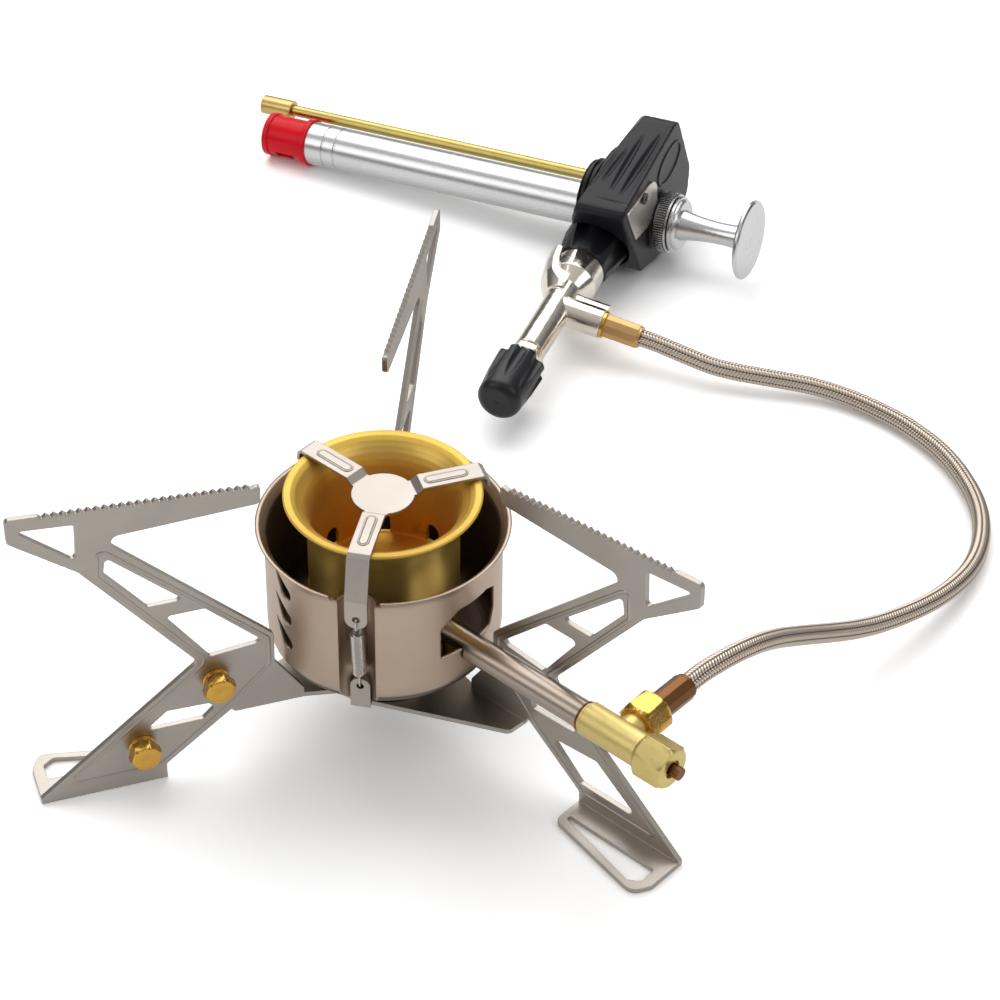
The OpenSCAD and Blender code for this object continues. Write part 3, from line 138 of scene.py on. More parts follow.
class Finish(Nodes):
    """A surface finish. Lengths are metres on the piece itself."""

    def __init__(self, name):
        self.material = bpy.data.materials.new(name)
        self.material.use_nodes = True
        super().__init__(self.material.node_tree)
        self.tree.nodes.clear()
        self.place = self.node("ShaderNodeVectorMath", {"operation": "SUBTRACT"},
                               {0: self.node("ShaderNodeTexCoord", out="Object"), 1: BURNER})
        self.soft = None

    def xyz(self, where=None):
        made = self.node("ShaderNodeSeparateXYZ", {}, {0: where or self.place}).socket.node
        return [Wire(self, o) for o in made.outputs]

    def moved(self, origin=(0, 0, 0), turn=(0, 0, 0), stretch=(1, 1, 1)):
        """The piece's coordinates seen from a frame with that origin and turn."""
        seen = self.node("ShaderNodeMapping", {"vector_type": "TEXTURE"},
                         {"Vector": self.place, "Location": origin, "Rotation": turn})
        return self.node("ShaderNodeVectorMath", {"operation": "MULTIPLY"}, {0: seen, 1: stretch})

    def noise(self, scale, detail=2.0, where=None, rough=0.5):
        return self.node("ShaderNodeTexNoise", {}, {"Vector": where or self.place, "Scale": scale,
                                                    "Detail": detail, "Roughness": rough}, out="Fac")

    def between(self, value, low, high):
        """0 below low, 1 above high and smooth in between."""
        return self.node("ShaderNodeMapRange", {"interpolation_type": "SMOOTHSTEP"},
                         {"Value": value, "From Min": low, "From Max": high})

    def length(self, x, y):
        return self.node("ShaderNodeMath", {"operation": "SQRT"}, {0: x * x + y * y})

    def clamp(self, value):
        return self.node("ShaderNodeClamp", {}, {"Value": value})

    def blend(self, amount, first, second):
        return self.node("ShaderNodeMix", {"data_type": "RGBA"}, {0: amount, 6: first, 7: second}, out=2)

    def soften(self, radius):
        """Normals rounded over the piece's sharp edges."""
        self.soft = self.node("ShaderNodeBevel", {"samples": 4}, {"Radius": radius})

    def edges(self, gain):
        """1 on the edges that soften() rounded and 0 elsewhere."""
        flat = self.node("ShaderNodeNewGeometry", out="Normal")
        facing = self.node("ShaderNodeVectorMath", {"operation": "DOT_PRODUCT"},
                           {0: self.soft, 1: flat}, out="Value")
        return self.clamp((1 - facing) * gain)

    def bump(self, height, depth):
        sockets = {"Height": height, "Distance": depth, "Strength": 1.0}
        if self.soft:
            sockets["Normal"] = self.soft
        return self.node("ShaderNodeBump", {}, sockets)

    def shade(self, **sockets):
        names = {key.replace("_", " "): value for key, value in sockets.items()}
        surface = self.node("ShaderNodeBsdfPrincipled", {}, names)
        self.node("ShaderNodeOutputMaterial", {}, {"Surface": surface})
        return self.material


def rgb(r, g, b):
    return (r, g, b, 1)


def scaled(colour, factor, lift=0.0):
    """A lighter or darker colour."""
    return rgb(*[min(1, c * factor + lift) for c in colour[:3]])


def sheet_metal(name, colour, tint, rough):
    """Satin sheet or bar: cloudy tint, fine grain, faint rolling lines and bright worn edges."""
    f = Finish(name)
    f.soften(0.0003)
    worn = f.edges(3.0)
    cloud = f.noise(70, 4)
    fine = f.noise(2600, 2)
    lines = f.noise(1, 2, f.moved(stretch=(260, 260, 5200)))
    base = f.blend(cloud * 0.9, colour, tint)
    base = f.blend(lines * 0.16, base, scaled(colour, 0.72))
    base = f.blend(worn * 0.45, base, scaled(colour, 1.35))
    dull = rough - 0.05 + cloud * 0.1 + fine * 0.05 - worn * 0.06
    return f.shade(Base_Color=base, Metallic=1.0, Roughness=dull,
                   Normal=f.bump(fine * 0.6 + lines * 0.4, 0.00005))


def cup_steel():
    """Drawn cup: satin outside and in the spring's groove, dark brown inside from soot and painted shade,
    with faint drawing rings.
    """
    wall_in, wall_out = 0.0275, 0.0278
    groove_x, groove_y, groove_in, groove_out = 0.0140, -0.02425, 0.0046, 0.0049
    f = Finish("cup_steel")
    f.soften(0.0006)
    worn = f.edges(2.0)
    x, y, _ = f.xyz()
    reach = f.length(x, y)
    groove = f.length(x - groove_x, y - groove_y)
    inside = (1 - f.between(reach, wall_in, wall_out)) * f.between(groove, groove_in, groove_out)
    cloud = f.noise(55, 4)
    fine = f.noise(2400, 2)
    rings = f.noise(1, 2, f.moved(stretch=(30, 30, 3800)))
    outer = f.blend(cloud * 0.9, rgb(0.55, 0.435, 0.345), rgb(0.44, 0.34, 0.26))
    outer = f.blend(rings * 0.12, outer, rgb(0.30, 0.255, 0.215))
    # Dark brown inside the wall: partly soot, partly painted shade for the cup's dark inside
    soot_and_shade = f.blend(f.noise(90, 3), rgb(0.17, 0.125, 0.10), rgb(0.10, 0.07, 0.055))
    base = f.blend(inside, outer, soot_and_shade)
    base = f.blend(worn * 0.5, base, rgb(0.58, 0.49, 0.42))
    dull = 0.33 + cloud * 0.1 + fine * 0.04 + inside * 0.1
    return f.shade(Base_Color=base, Metallic=1.0, Roughness=dull,
                   Normal=f.bump(fine * 0.5 + rings * 0.5, 0.00004))


def bell_brass():
    """Spun satin brass bell: faint turning rings, the wall a lighter gold than the flare as painted light
    against the cup's shade, and orange low inside.
    """
    bore_in, bore_out, flare_in, flare_out = 0.0174, 0.0177, 0.0186, 0.0205
    low_z, high_z = 0.042, 0.060
    f = Finish("bell_brass")
    f.soften(0.0007)
    worn = f.edges(2.0)
    x, y, z = f.xyz()
    reach = f.length(x, y)
    inside = 1 - f.between(reach, bore_in, bore_out)
    low = 1 - f.between(z, low_z, high_z)
    cloud = f.noise(80, 4)
    rings = f.noise(1, 3, f.moved(stretch=(40, 40, 5200)))
    flare = f.between(reach, flare_in, flare_out)
    # Painted light: the wall is lighter gold to offset the cup's shade, and the flare is a deeper gold
    base = f.blend(cloud * 0.8, rgb(0.92, 0.65, 0.18), rgb(0.80, 0.53, 0.12))
    base = f.blend(flare, base, f.blend(cloud * 0.8, rgb(0.74, 0.49, 0.10), rgb(0.62, 0.385, 0.065)))
    base = f.blend(rings * 0.1, base, rgb(0.52, 0.32, 0.06))
    base = f.blend(inside * low * 0.8, base, rgb(0.66, 0.29, 0.02))
    stain = f.between(f.noise(190, 4), 0.58, 0.74) * inside * low
    base = f.blend(stain * 0.6, base, rgb(0.22, 0.08, 0.012))
    base = f.blend(worn * 0.2, base, rgb(0.80, 0.57, 0.15))
    dull = 0.36 + cloud * 0.08 + rings * 0.05
    return f.shade(Base_Color=base, Metallic=0.78, Roughness=dull, Normal=f.bump(rings, 0.00002))


def turned_brass(name, colour, dark, rough, spots=0.0):
    """Turned or pressed brass with small marks, cloudy darker patches, dark spots where given and bright
    edges.
    """
    f = Finish(name)
    f.soften(0.00035)
    worn = f.edges(2.5)
    cloud = f.noise(160, 4)
    marks = f.noise(1500, 3)
    base = f.blend(cloud * 0.9, colour, dark)
    base = f.blend(worn * 0.3, base, scaled(colour, 1.25))
    dots = f.between(f.noise(900, 2), 0.66, 0.74)
    base = f.blend(dots * spots, base, scaled(colour, 0.45))
    dull = rough - 0.03 + cloud * 0.1 + marks * 0.06
    return f.shade(Base_Color=base, Metallic=1.0, Roughness=dull, Normal=f.bump(marks, 0.00003))


def plated_nickel():
    """Bright nickel plate over a casting: warm white, gently uneven, with a few pits."""
    f = Finish("plated_nickel")
    f.soften(0.0006)
    worn = f.edges(2.0)
    wave = f.noise(240, 2)
    pits = f.between(f.noise(1300, 2), 0.70, 0.76)
    base = f.blend(f.noise(90, 3) * 0.8, rgb(0.84, 0.775, 0.685), rgb(0.74, 0.67, 0.58))
    base = f.blend(pits * 0.6, base, rgb(0.20, 0.17, 0.14))
    base = f.blend(worn * 0.3, base, rgb(0.93, 0.88, 0.80))
    return f.shade(Base_Color=base, Metallic=1.0, Roughness=0.11 + wave * 0.07,
                   Normal=f.bump(wave - pits * 0.4, 0.0001))


def turned_aluminium(name, round_lines, along_lines, ring_lines, rough=0.27, knurl_shade=None):
    """Aluminium of the pump: lines counted round its axis, along it and outwards, per radian or metre.
    Where a knurl is given, from one place along the axis to another, the metal below its radius is painted
    dark as the shade between its teeth."""
    fade = 0.0001
    f = Finish(name)
    f.soften(0.0003)
    worn = f.edges(2.0)
    pump_axis = (0, math.radians(90) - math.radians(PUMP_LEAN), math.radians(PUMP_TURN))
    x, y, z = f.xyz(f.moved([c * MM for c in PUMP_AT], pump_axis))
    reach = f.length(x, y)
    angle = x.math("ARCTAN2", y, x)
    lines = f.noise(1, 3, f.node("ShaderNodeCombineXYZ", {}, {"X": angle * round_lines, "Y": z * along_lines,
                                                              "Z": reach * ring_lines}))
    cloud = f.noise(60, 4)
    scuffs = f.between(f.noise(420, 4), 0.62, 0.75)
    base = f.blend(cloud * 0.8, rgb(0.70, 0.70, 0.70), rgb(0.60, 0.60, 0.60))
    base = f.blend(lines * 0.3, base, rgb(0.42, 0.42, 0.425))
    base = f.blend(worn * 0.4, base, rgb(0.95, 0.95, 0.95))
    if knurl_shade:
        start, end, root = knurl_shade
        # Painted shade in the knurl's valleys, between its teeth
        valley_shade = f.between(z, start, start + fade) * (1 - f.between(z, end, end + fade))
        valley_shade = valley_shade * (1 - f.between(reach, root, root + fade))
        base = f.blend(valley_shade * 0.92, base, rgb(0.09, 0.09, 0.092))
    dull = rough - 0.04 + lines * 0.1 + scuffs * 0.06
    return f.shade(Base_Color=base, Metallic=1.0, Roughness=dull, Normal=f.bump(lines, 0.000012))


def moulded_plastic(name, colour, rough, edge_radius=0.0005, shine=0.35):
    """Moulded plastic with a fine spark-eroded grain and slightly polished edges."""
    f = Finish(name)
    f.soften(edge_radius)
    worn = f.edges(2.0)
    grain = f.noise(3200, 2)
    cloud = f.noise(120, 3)
    base = f.blend(cloud * 0.6, colour, scaled(colour, 0.7))
    base = f.blend(worn * 0.25, base, scaled(colour, 1.8, 0.012))
    dull = rough - 0.05 + cloud * 0.08 + grain * 0.05 - worn * 0.08
    return f.shade(Base_Color=base, Roughness=dull, Specular_IOR_Level=shine, Normal=f.bump(grain, 0.00002))


def soft_matter(name, colour, dark, scale, depth, rough):
    """Rubber, leather or felt: broken colour and a pitted surface."""
    f = Finish(name)
    pits = f.noise(scale, 4, rough=0.7)
    base = f.blend(pits, colour, dark)
    return f.shade(Base_Color=base, Roughness=rough + pits * 0.1, Normal=f.bump(pits, depth))


def hot_sleeve():
    """Steel sleeve with straw and brown heat colours next to the cup."""
    hot_x, cool_x = 0.030, 0.056
    f = Finish("hot_sleeve")
    f.soften(0.0003)
    worn = f.edges(2.0)
    x, _, _ = f.xyz()
    cloud = f.noise(90, 4)
    lines = f.noise(1, 3, f.moved(stretch=(30, 3000, 3000)))
    heat = 1 - f.between(x + cloud * 0.012, hot_x, cool_x)
    base = f.blend(cloud * 0.7, rgb(0.43, 0.365, 0.31), rgb(0.34, 0.28, 0.23))
    base = f.blend(heat * 0.5, base, rgb(0.34, 0.25, 0.17))
    base = f.blend(lines * 0.1, base, rgb(0.26, 0.22, 0.18))
    base = f.blend(worn * 0.3, base, rgb(0.66, 0.59, 0.52))
    return f.shade(Base_Color=base, Metallic=1.0, Roughness=0.24 + cloud * 0.08 + lines * 0.05,
                   Normal=f.bump(lines, 0.00001))


# Braid of the hose: columns of strokes round it, a stroke's length along it, strokes gained across a column
BRAID_COLUMNS, BRAID_STROKE, BRAID_LEAN = 8, 0.92, 1.1


def braid_height(u, v):
    """Height of the braid, 0 to 1, at a share of the way round and a length along the hose."""
    column, part = divmod(u * BRAID_COLUMNS, 1)
    lay = v / BRAID_STROKE + (column % 2 * 2 - 1) * (part - 0.5) * BRAID_LEAN
    dome = 1 - abs(part * 2 - 1) ** 4
    return dome * (0.3 + 0.7 * (0.5 + 0.5 * math.sin(2 * math.pi * lay)))


def braided_steel():
    """Steel wires on the hose's own UV map: bright where braid_height is high, with painted shade darkening
    the gaps between the wires.
    """
    f = Finish("braided_steel")
    u, v, _ = f.xyz(f.node("ShaderNodeUVMap", {"uv_map": "wrap"}))
    across = u * BRAID_COLUMNS
    column = across.math("FLOOR", across)
    part = across - column
    lean = column.math("MODULO", column, 2) * 2 - 1
    lay = v / (BRAID_STROKE * MM) + lean * (part - 0.5) * BRAID_LEAN
    wave = lay.math("SINE", lay * (2 * math.pi))
    dome = 1 - abs(part * 2 - 1) ** 4
    height = dome * (0.3 + 0.7 * (wave * 0.5 + 0.5))
    gap_shade = 1 - f.between(height, 0.15, 0.55)
    cloud = f.noise(60, 3)
    base = f.blend(cloud * 0.8, rgb(0.66, 0.565, 0.475), rgb(0.56, 0.47, 0.385))
    # Painted shade in the gaps between the wires
    base = f.blend(gap_shade * 0.92, base, rgb(0.07, 0.055, 0.042))
    return f.shade(Base_Color=base, Metallic=1.0, Roughness=0.30 + gap_shade * 0.3,
                   Normal=f.bump(height, 0.00008))


def piece(name, mesh, body, finish=None, sharp=35):
    """A finished piece: its mesh is in place already, in metres."""
    obj = bpy.data.objects.new(name, mesh)
    scene.collection.objects.link(obj)
    mesh.polygons.foreach_set("use_smooth", [True] * len(mesh.polygons))
    if sharp:
        mesh.set_sharp_from_angle(angle=math.radians(sharp))
    if finish:
        mesh.materials.clear()
        mesh.materials.append(finish)
    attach(obj, body)
    return obj


def to_mesh(name, points, faces, place=Matrix()):
    """Mesh from millimetre points in a local frame."""
    mesh = bpy.data.meshes.new(name)
    mesh.from_pydata([place @ Vector(p) * MM for p in points], [], faces)
    mesh.update()
    return mesh


def along(axis_point, pitch=90.0):
    """Frame whose Z runs along the fuel tube, or up for a pitch of 0."""
    return STOVE @ Matrix.Translation(axis_point) @ rot(pitch, "Y")


def along_pump(x):
    """Frame on the pump's axis, whose Z runs along it."""
    return PUMP @ Matrix.Translation((x, 0, 0)) @ rot(90, "Y")


def rounded_loop(corners):
    """Points of a closed flat path with its corners (x, z, radius) rounded."""
    path, steps = [], 6
    count = len(corners)
    for i, (x, z, r) in enumerate(corners):
        here = Vector((x, z))
        back = (Vector(corners[i - 1][:2]) - here).normalized()
        ahead = (Vector(corners[(i + 1) % count][:2]) - here).normalized()
        half = back.angle(ahead) / 2
        centre = here + (back + ahead).normalized() * (r / math.sin(half))
        start = here + back * (r / math.tan(half)) - centre
        end = here + ahead * (r / math.tan(half)) - centre
        sweep = math.atan2(start.x * end.y - start.y * end.x, start.dot(end))
        for k in range(steps + 1):
            a = sweep * k / steps
            path.append(centre + Vector((start.x * math.cos(a) - start.y * math.sin(a),
                                         start.x * math.sin(a) + start.y * math.cos(a))))
    return path


def hexagon_reach(angle, across):
    """Distance from a hexagon's middle to its side in a direction."""
    turned = (angle + math.pi / 6) % (math.pi / 3) - math.pi / 6
    return across / 2 / math.cos(turned)


def rings_joined(rings, sides):
    """Faces of a closed tube whose points lie in rings, with a face on each end."""
    faces = []
    for i in range(rings - 1):
        for k in range(sides):
            n = (k + 1) % sides
            faces.append((i * sides + k, i * sides + n, (i + 1) * sides + n, (i + 1) * sides + k))
    last = (rings - 1) * sides
    return faces + [tuple(range(sides - 1, -1, -1)), tuple(last + k for k in range(sides))]


def turned_hexagon(across, stations):
    """Hexagon bar turned on a lathe: at each (z, radius) the section is cut down to that radius."""
    points, segments = [], 96
    for z, limit in stations:
        for k in range(segments):
            a = 2 * math.pi * k / segments
            r = min(limit, hexagon_reach(a + math.pi / 6, across))
            points.append((r * math.cos(a), r * math.sin(a), z))
    return points, rings_joined(len(stations), segments)


def merged(*parts):
    """Several (points, faces) as one."""
    points, faces = [], []
    for p, f in parts:
        start = len(points)
        points += list(p)
        faces += [tuple(start + i for i in face) for face in f]
    return points, faces


def placed(part, place):
    """A (points, faces) taken to a frame."""
    points, faces = part
    return [tuple(place @ Vector(p)) for p in points], faces


class Grower(Nodes):
    """A geometry node tree with named inputs, ended by Realize Instances and Set Material."""

    def __init__(self, name, sizes):
        super().__init__(bpy.data.node_groups.new(name, "GeometryNodeTree"))
        face = self.tree.interface
        face.new_socket("Geometry", in_out="OUTPUT", socket_type="NodeSocketGeometry")
        face.new_socket("Geometry", in_out="INPUT", socket_type="NodeSocketGeometry")
        face.new_socket("Finish", in_out="INPUT", socket_type="NodeSocketMaterial")
        for key, value in sizes.items():
            kind = "NodeSocketInt" if isinstance(value, int) else "NodeSocketFloat"
            face.new_socket(key, in_out="INPUT", socket_type=kind).default_value = value
        self.entry = self.tree.nodes.new("NodeGroupInput")

    def given(self, name):
        return Wire(self, self.entry.outputs[name])

    def close(self, shape):
        whole = self.node("GeometryNodeRealizeInstances", {}, {"Geometry": shape})
        coated = self.node("GeometryNodeSetMaterial", {},
                           {"Geometry": whole, "Material": self.given("Finish")})
        self.node("NodeGroupOutput", {}, {0: coated})
        return self

    def grow(self, name, seed, **values):
        """The tree's result on a seed mesh, as a plain mesh."""
        maker = bpy.data.objects.new(name, seed)
        scene.collection.objects.link(maker)
        step = maker.modifiers.new("grow", "NODES")
        step.node_group = self.tree
        for item in self.tree.interface.items_tree:
            if item.in_out == "INPUT" and item.name in values:
                step[item.identifier] = values[item.name]
        mesh = bpy.data.meshes.new_from_object(maker.evaluated_get(bpy.context.evaluated_depsgraph_get()))
        bpy.data.objects.remove(maker)
        mesh.name = name
        return mesh


def bead_tree():
    """Round bar along a path."""
    t = Grower("bar_along_path", {"Radius": 0.0005, "Sides": 12})
    line = t.node("GeometryNodeMeshToCurve", {}, {"Mesh": t.given("Geometry")})
    profile = t.node("GeometryNodeCurvePrimitiveCircle", {},
                     {"Resolution": t.given("Sides"), "Radius": t.given("Radius")})
    return t.close(t.node("GeometryNodeCurveToMesh", {},
                          {"Curve": line, "Profile Curve": profile, "Fill Caps": True}))


def ring_tree():
    """One tooth repeated round a ring about Z."""
    t = Grower("teeth_round_ring", {"Count": 24, "Radius": 0.01})
    spots = t.node("GeometryNodeMeshCircle", {"fill_type": "NONE"},
                   {"Vertices": t.given("Count"), "Radius": t.given("Radius")})
    turn = t.node("GeometryNodeInputIndex") / t.given("Count") * (2 * math.pi)
    facing = t.node("ShaderNodeCombineXYZ", {}, {"Z": turn})
    return t.close(t.node("GeometryNodeInstanceOnPoints", {},
                          {"Points": spots, "Instance": t.given("Geometry"), "Rotation": facing}))


def path_mesh(name, points, closed=False):
    """Edges through millimetre points."""
    mesh = bpy.data.meshes.new(name)
    count = len(points)
    edges = [(i, (i + 1) % count) for i in range(count if closed else count - 1)]
    mesh.from_pydata([Vector(p) * MM for p in points], edges, [])
    return mesh


# Knots of the hose's route from the valve to the tee, from the burner's axis
HOSE_PATH = [(-43.83, 150.05, 8.47), (-39.2, 151.8, 7.77), (-30, 154.2, 6.6), (-23.4, 156.6, 5.4),
             (-17.2, 159.6, 4.8), (-11.2, 163, 4.4), (-5.4, 166.4, 4), (0.6, 169.7, 3.6), (7.2, 172.2, 3.2),
             (14.6, 173.8, 2.9), (22.4, 174.5, 2.7), (29.6, 174.3, 2.7), (36.7, 173.2, 2.7),
             (43.4, 171.5, 2.7), (50, 168.8, 2.7), (56.2, 165.3, 2.7), (62.2, 161.1, 2.7), (67.6, 156, 2.7),
             (72.2, 149.9, 2.7), (76, 142.7, 2.9), (78.5, 134.9, 3.5), (79.8, 126.8, 4.6), (80.2, 118.4, 6),
             (79.9, 109.8, 7.8), (79.1, 101.4, 9.8), (78, 93.4, 12), (76.8, 86, 14.7), (75.6, 78.8, 17.9),
             (74.8, 71.8, 21.5), (74.3, 64.6, 25.4), (74, 57.4, 29.2), (74, 50, 32.5), (74, 42.4, 35),
             (73.8, 34.8, 36.5), (73.5, 28.6, 37), (73.5, 23.6, 37)]
HOSE_RADIUS = 2.5
# The hose leaves the valve's branch: along the valve, and out from its axis
HOSE_BRANCH, HOSE_RUN = 51.5, 25.4


def smooth_path(points, step):
    """Even points along a smooth curve through the given ones, and the curve's length."""
    knots = [Vector(p) for p in points]
    dense, parts = [], 24
    for i in range(len(knots) - 1):
        a, b = knots[max(i - 1, 0)], knots[i]
        c, d = knots[i + 1], knots[min(i + 2, len(knots) - 1)]
        for k in range(parts):
            t = k / parts
            dense.append(0.5 * (2 * b + (c - a) * t + (2 * a - 5 * b + 4 * c - d) * t * t
                                + (3 * b - a - 3 * c + d) * t ** 3))
    dense.append(knots[-1])
    reach = [0.0]
    for p, q in zip(dense, dense[1:]):
        reach.append(reach[-1] + (q - p).length)
    count = round(reach[-1] / step)
    even, j = [], 0
    for k in range(count + 1):
        want = reach[-1] * k / count
        while j < len(reach) - 2 and reach[j + 1] < want:
            j += 1
        even.append(dense[j].lerp(dense[j + 1], (want - reach[j]) / (reach[j + 1] - reach[j])))
    return even, reach[-1]


def fuel_hose(finish):
    """Braided hose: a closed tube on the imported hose's route, raised by its strokes, with a wrap map."""
    start = VALVE @ Vector((HOSE_RUN, 0, HOSE_BRANCH)) - STOVE @ Vector(HOSE_PATH[0])
    knots = len(HOSE_PATH) - 1
    route = [STOVE @ Vector(p) + (1 - i / knots) ** 3 * start for i, p in enumerate(HOSE_PATH)]
    line, length = smooth_path(route, BRAID_STROKE / 4)
    sides, deep = 7 * BRAID_COLUMNS, 0.22
    run = length / (len(line) - 1)
    side = Vector((0, 0, 1))
    points = []
    for i, p in enumerate(line):
        ahead = (line[min(i + 1, len(line) - 1)] - line[max(i - 1, 0)]).normalized()
        side = (side - ahead * side.dot(ahead)).normalized()
        other = ahead.cross(side)
        for k in range(sides):
            a = 2 * math.pi * k / sides
            reach = HOSE_RADIUS - deep * (1 - braid_height(k / sides, i * run))
            points.append(p + reach * (math.cos(a) * side + math.sin(a) * other))
    marks = []
    for i in range(len(line) - 1):
        for k in range(sides):
            marks += [(k / sides, i * run), ((k + 1) / sides, i * run),
                      ((k + 1) / sides, (i + 1) * run), (k / sides, (i + 1) * run)]
    marks += [(0, 0)] * (2 * sides)
    mesh = to_mesh("braided_hose", points, rings_joined(len(line), sides))
    wrap = mesh.uv_layers.new(name="wrap")
    for spot, (u, v) in zip(wrap.data, marks):
        spot.uv = (u, v * MM)
    hose = piece("braided_hose", mesh, "stove", finish, sharp=60)
    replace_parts(hose, "fuel_hose")
    line[0] * MM
    length * MM
    [p * MM for p in line]


def strap_spring(bar, finish):
    """Close-wound spring with a hook at each end, from the lug up to the spreader's front arm."""
    lug, strap = Vector((25.01, 0, 30.0)), Vector((27.5, 0, 52.9))
    hook_h, hook_w, coil_r, turns, pitch, wire = 3.8, 2.0, 1.5, 23, 0.62, 0.25
    turn_steps, lead = 16, 0.3

    def hook(middle, up, degrees):
        a = math.radians(degrees)
        return middle + up * Vector((hook_w * math.sin(a), 0, hook_h * (1 - math.cos(a)))) / 2

    ahead = (strap - lug).normalized()
    low, high = lug + hook_h * ahead, strap - hook_h * ahead
    side = ahead.cross(Vector((0, 1, 0))).normalized()
    start = ((high - low).length - turns * pitch) / 2
    path = [hook(lug, 1, a) for a in range(-110, 160, 12)] + [low + ahead * lead]
    for i in range(turns * turn_steps + 1):
        turn = i / turn_steps
        swell = min(1, turn * 2, (turns - turn) * 2)
        a = 2 * math.pi * turn
        path.append(low + ahead * (start + turn * pitch)
                    + coil_r * swell * (math.cos(a) * side + math.sin(a) * Vector((0, 1, 0))))
    path += [high - ahead * lead] + [hook(strap, -1, a) for a in range(154, -115, -12)]
    mesh = bar.grow("strap_spring_wire", path_mesh("spring_path", [SPRING_SIDE @ p for p in path]),
                    Finish=finish, Radius=wire * MM, Sides=8)
    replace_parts(piece("strap_spring_wire", mesh, "stove", sharp=0), "strap_spring")


def leg_beads(bar, finish):
    """Pressed bead that runs round each leg inside its edge, on both faces."""
    sunk, radius = 0.5, 0.7
    corners = [(69.2, 75.4, 1.4), (69.5, 66.4, 1.6), (45.6, 34.4, 2.0), (81.4, 4.5, 1.0), (58.6, 4.5, 1.5),
               (41.6, 18.6, 2.5), (30.7, 29.6, 2.0), (30.7, 37.7, 1.6)]
    loop = rounded_loop(corners)
    for leg, turn in LEG_TURNS.items():
        name, body = leg + "_bead", "stove" if leg == "fixed_leg" else leg
        place = STOVE @ rot(turn, "Z")
        for side, y in (("outer", LEG_OUTER - sunk), ("inner", LEG_INNER + sunk)):
            path = path_mesh(name, [place @ Vector((p.x, y, p.y)) for p in loop], closed=True)
            mesh = bar.grow(name, path, Finish=finish, Radius=radius * MM, Sides=24)
            piece(name + "_" + side, mesh, body, sharp=0)


# Knurl on the pump's nut: start and length along the pump, the teeth's ring, the top of the painted shade in
# its valleys
KNURL_START, KNURL_LENGTH, KNURL_REACH, KNURL_SHADE_TOP = 14.7, 3.1, 8.5, 8.66


def knurl_teeth(ring, finish):
    """Straight knurl on the nut behind the plunger."""
    count = 76
    tooth = [(-0.3, -0.26, 0), (0.36, -0.07, 0.25), (0.36, 0.07, 0.25), (-0.3, 0.26, 0)]
    points = tooth + [(x, y, KNURL_LENGTH - z) for x, y, z in tooth]
    faces = [(3, 2, 1, 0), (4, 5, 6, 7), (0, 1, 5, 4), (1, 2, 6, 5), (2, 3, 7, 6), (3, 0, 4, 7)]
    mesh = ring.grow("nut_knurl", to_mesh("knurl_tooth", points, faces), Finish=finish, Count=count,
                     Radius=KNURL_REACH * MM)
    mesh.transform(Matrix.Scale(MM, 4) @ along_pump(KNURL_START) @ Matrix.Scale(1 / MM, 4))
    piece("nut_knurl", mesh, "stove", sharp=20)


def bottle_thread(finish):
    """Threaded neck for the bottle: a rounded thread wound round a cylinder, with a plain face."""
    start, beside, run, pitch, segments, rows = -10.4, 4.025, 5.0, 1.7, 144, 40
    root, ridge, runout, narrow, flat = 10.95, 0.85, 0.5, 3.2, 1.6
    points = []
    for i in range(rows + 1):
        z = run * i / rows
        for k in range(segments):
            a = k / segments
            phase = (z / pitch - a) % 1
            tooth = max(0.0, 1 - abs(phase - 0.5) * narrow)
            fade = min(1, z / runout, (run - z) / runout)
            r = root + ridge * min(1, tooth * flat) * max(0, fade)
            points.append((r * math.cos(2 * math.pi * a), r * math.sin(2 * math.pi * a), z))
    place = PUMP @ Matrix.Translation((start, beside, 0)) @ rot(90, "Y")
    mesh = to_mesh("bottle_thread_ridges", points, rings_joined(rows + 1, segments), place)
    ridges = piece("bottle_thread_ridges", mesh, "stove", finish, sharp=50)
    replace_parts(ridges, "bottle_thread")


# Grooves on the head's top in the pump's frame: from (x, y) to (x, y), half width, depth
HEAD_GROOVES = [((-0.6, -17.8), (1.8, -1.7), 0.7, 0.55), ((2.1, -16), (4.1, -0.5), 0.85, 0.7),
                ((5.9, -18.5), (6.3, 5.5), 1.05, 0.95), ((9.3, -19.5), (10.9, 7.5), 1.2, 1.1),
                ((12.3, -23), (12.1, 14), 0.4, 0.4), ((2.4, -21.7), (13.4, -21.9), 0.35, 0.3)]


def groove_depth(p, start, end, half, depth):
    """Depth at a point of a leaf-shaped groove that runs from start to end."""
    start, run = Vector(start), Vector(end) - Vector(start)
    spot = p.to_2d() - start
    t = spot.dot(run) / run.length_squared
    if not 0 < t < 1:
        return 0.0
    leaf = math.sin(math.pi * t) ** 0.5
    off = abs(spot.cross(run)) / run.length / (half * leaf + 1e-6)
    return depth * leaf * max(0.0, 1 - off * off)


def pump_head(finish):
    """Moulded head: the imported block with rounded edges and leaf-shaped grip grooves along its top."""
    top = 15
    block = bpy.data.objects.new("head_maker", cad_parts["pump_head"].data.copy())
    scene.collection.objects.link(block)
    weld = block.modifiers.new("weld", "WELD")
    weld.merge_threshold = 1e-6
    skin = block.modifiers.new("skin", "REMESH")
    skin.mode, skin.voxel_size = "VOXEL", 0.00034
    round_off = block.modifiers.new("round", "SMOOTH")
    round_off.factor, round_off.iterations = 0.5, 16
    mesh = bpy.data.meshes.new_from_object(block.evaluated_get(bpy.context.evaluated_depsgraph_get()))
    bpy.data.objects.remove(block)
    mesh.name = "moulded_head"
    back = (Matrix.Scale(MM, 4) @ PUMP).inverted()
    ahead = back.inverted()
    for spot in mesh.vertices:
        p = back @ spot.co
        if p.z > top:
            cut = max(groove_depth(p, *groove) for groove in HEAD_GROOVES)
            spot.co = ahead @ (p - Vector((0, 0, cut)))
    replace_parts(piece("moulded_head", mesh, "stove", finish, sharp=0), "pump_head")


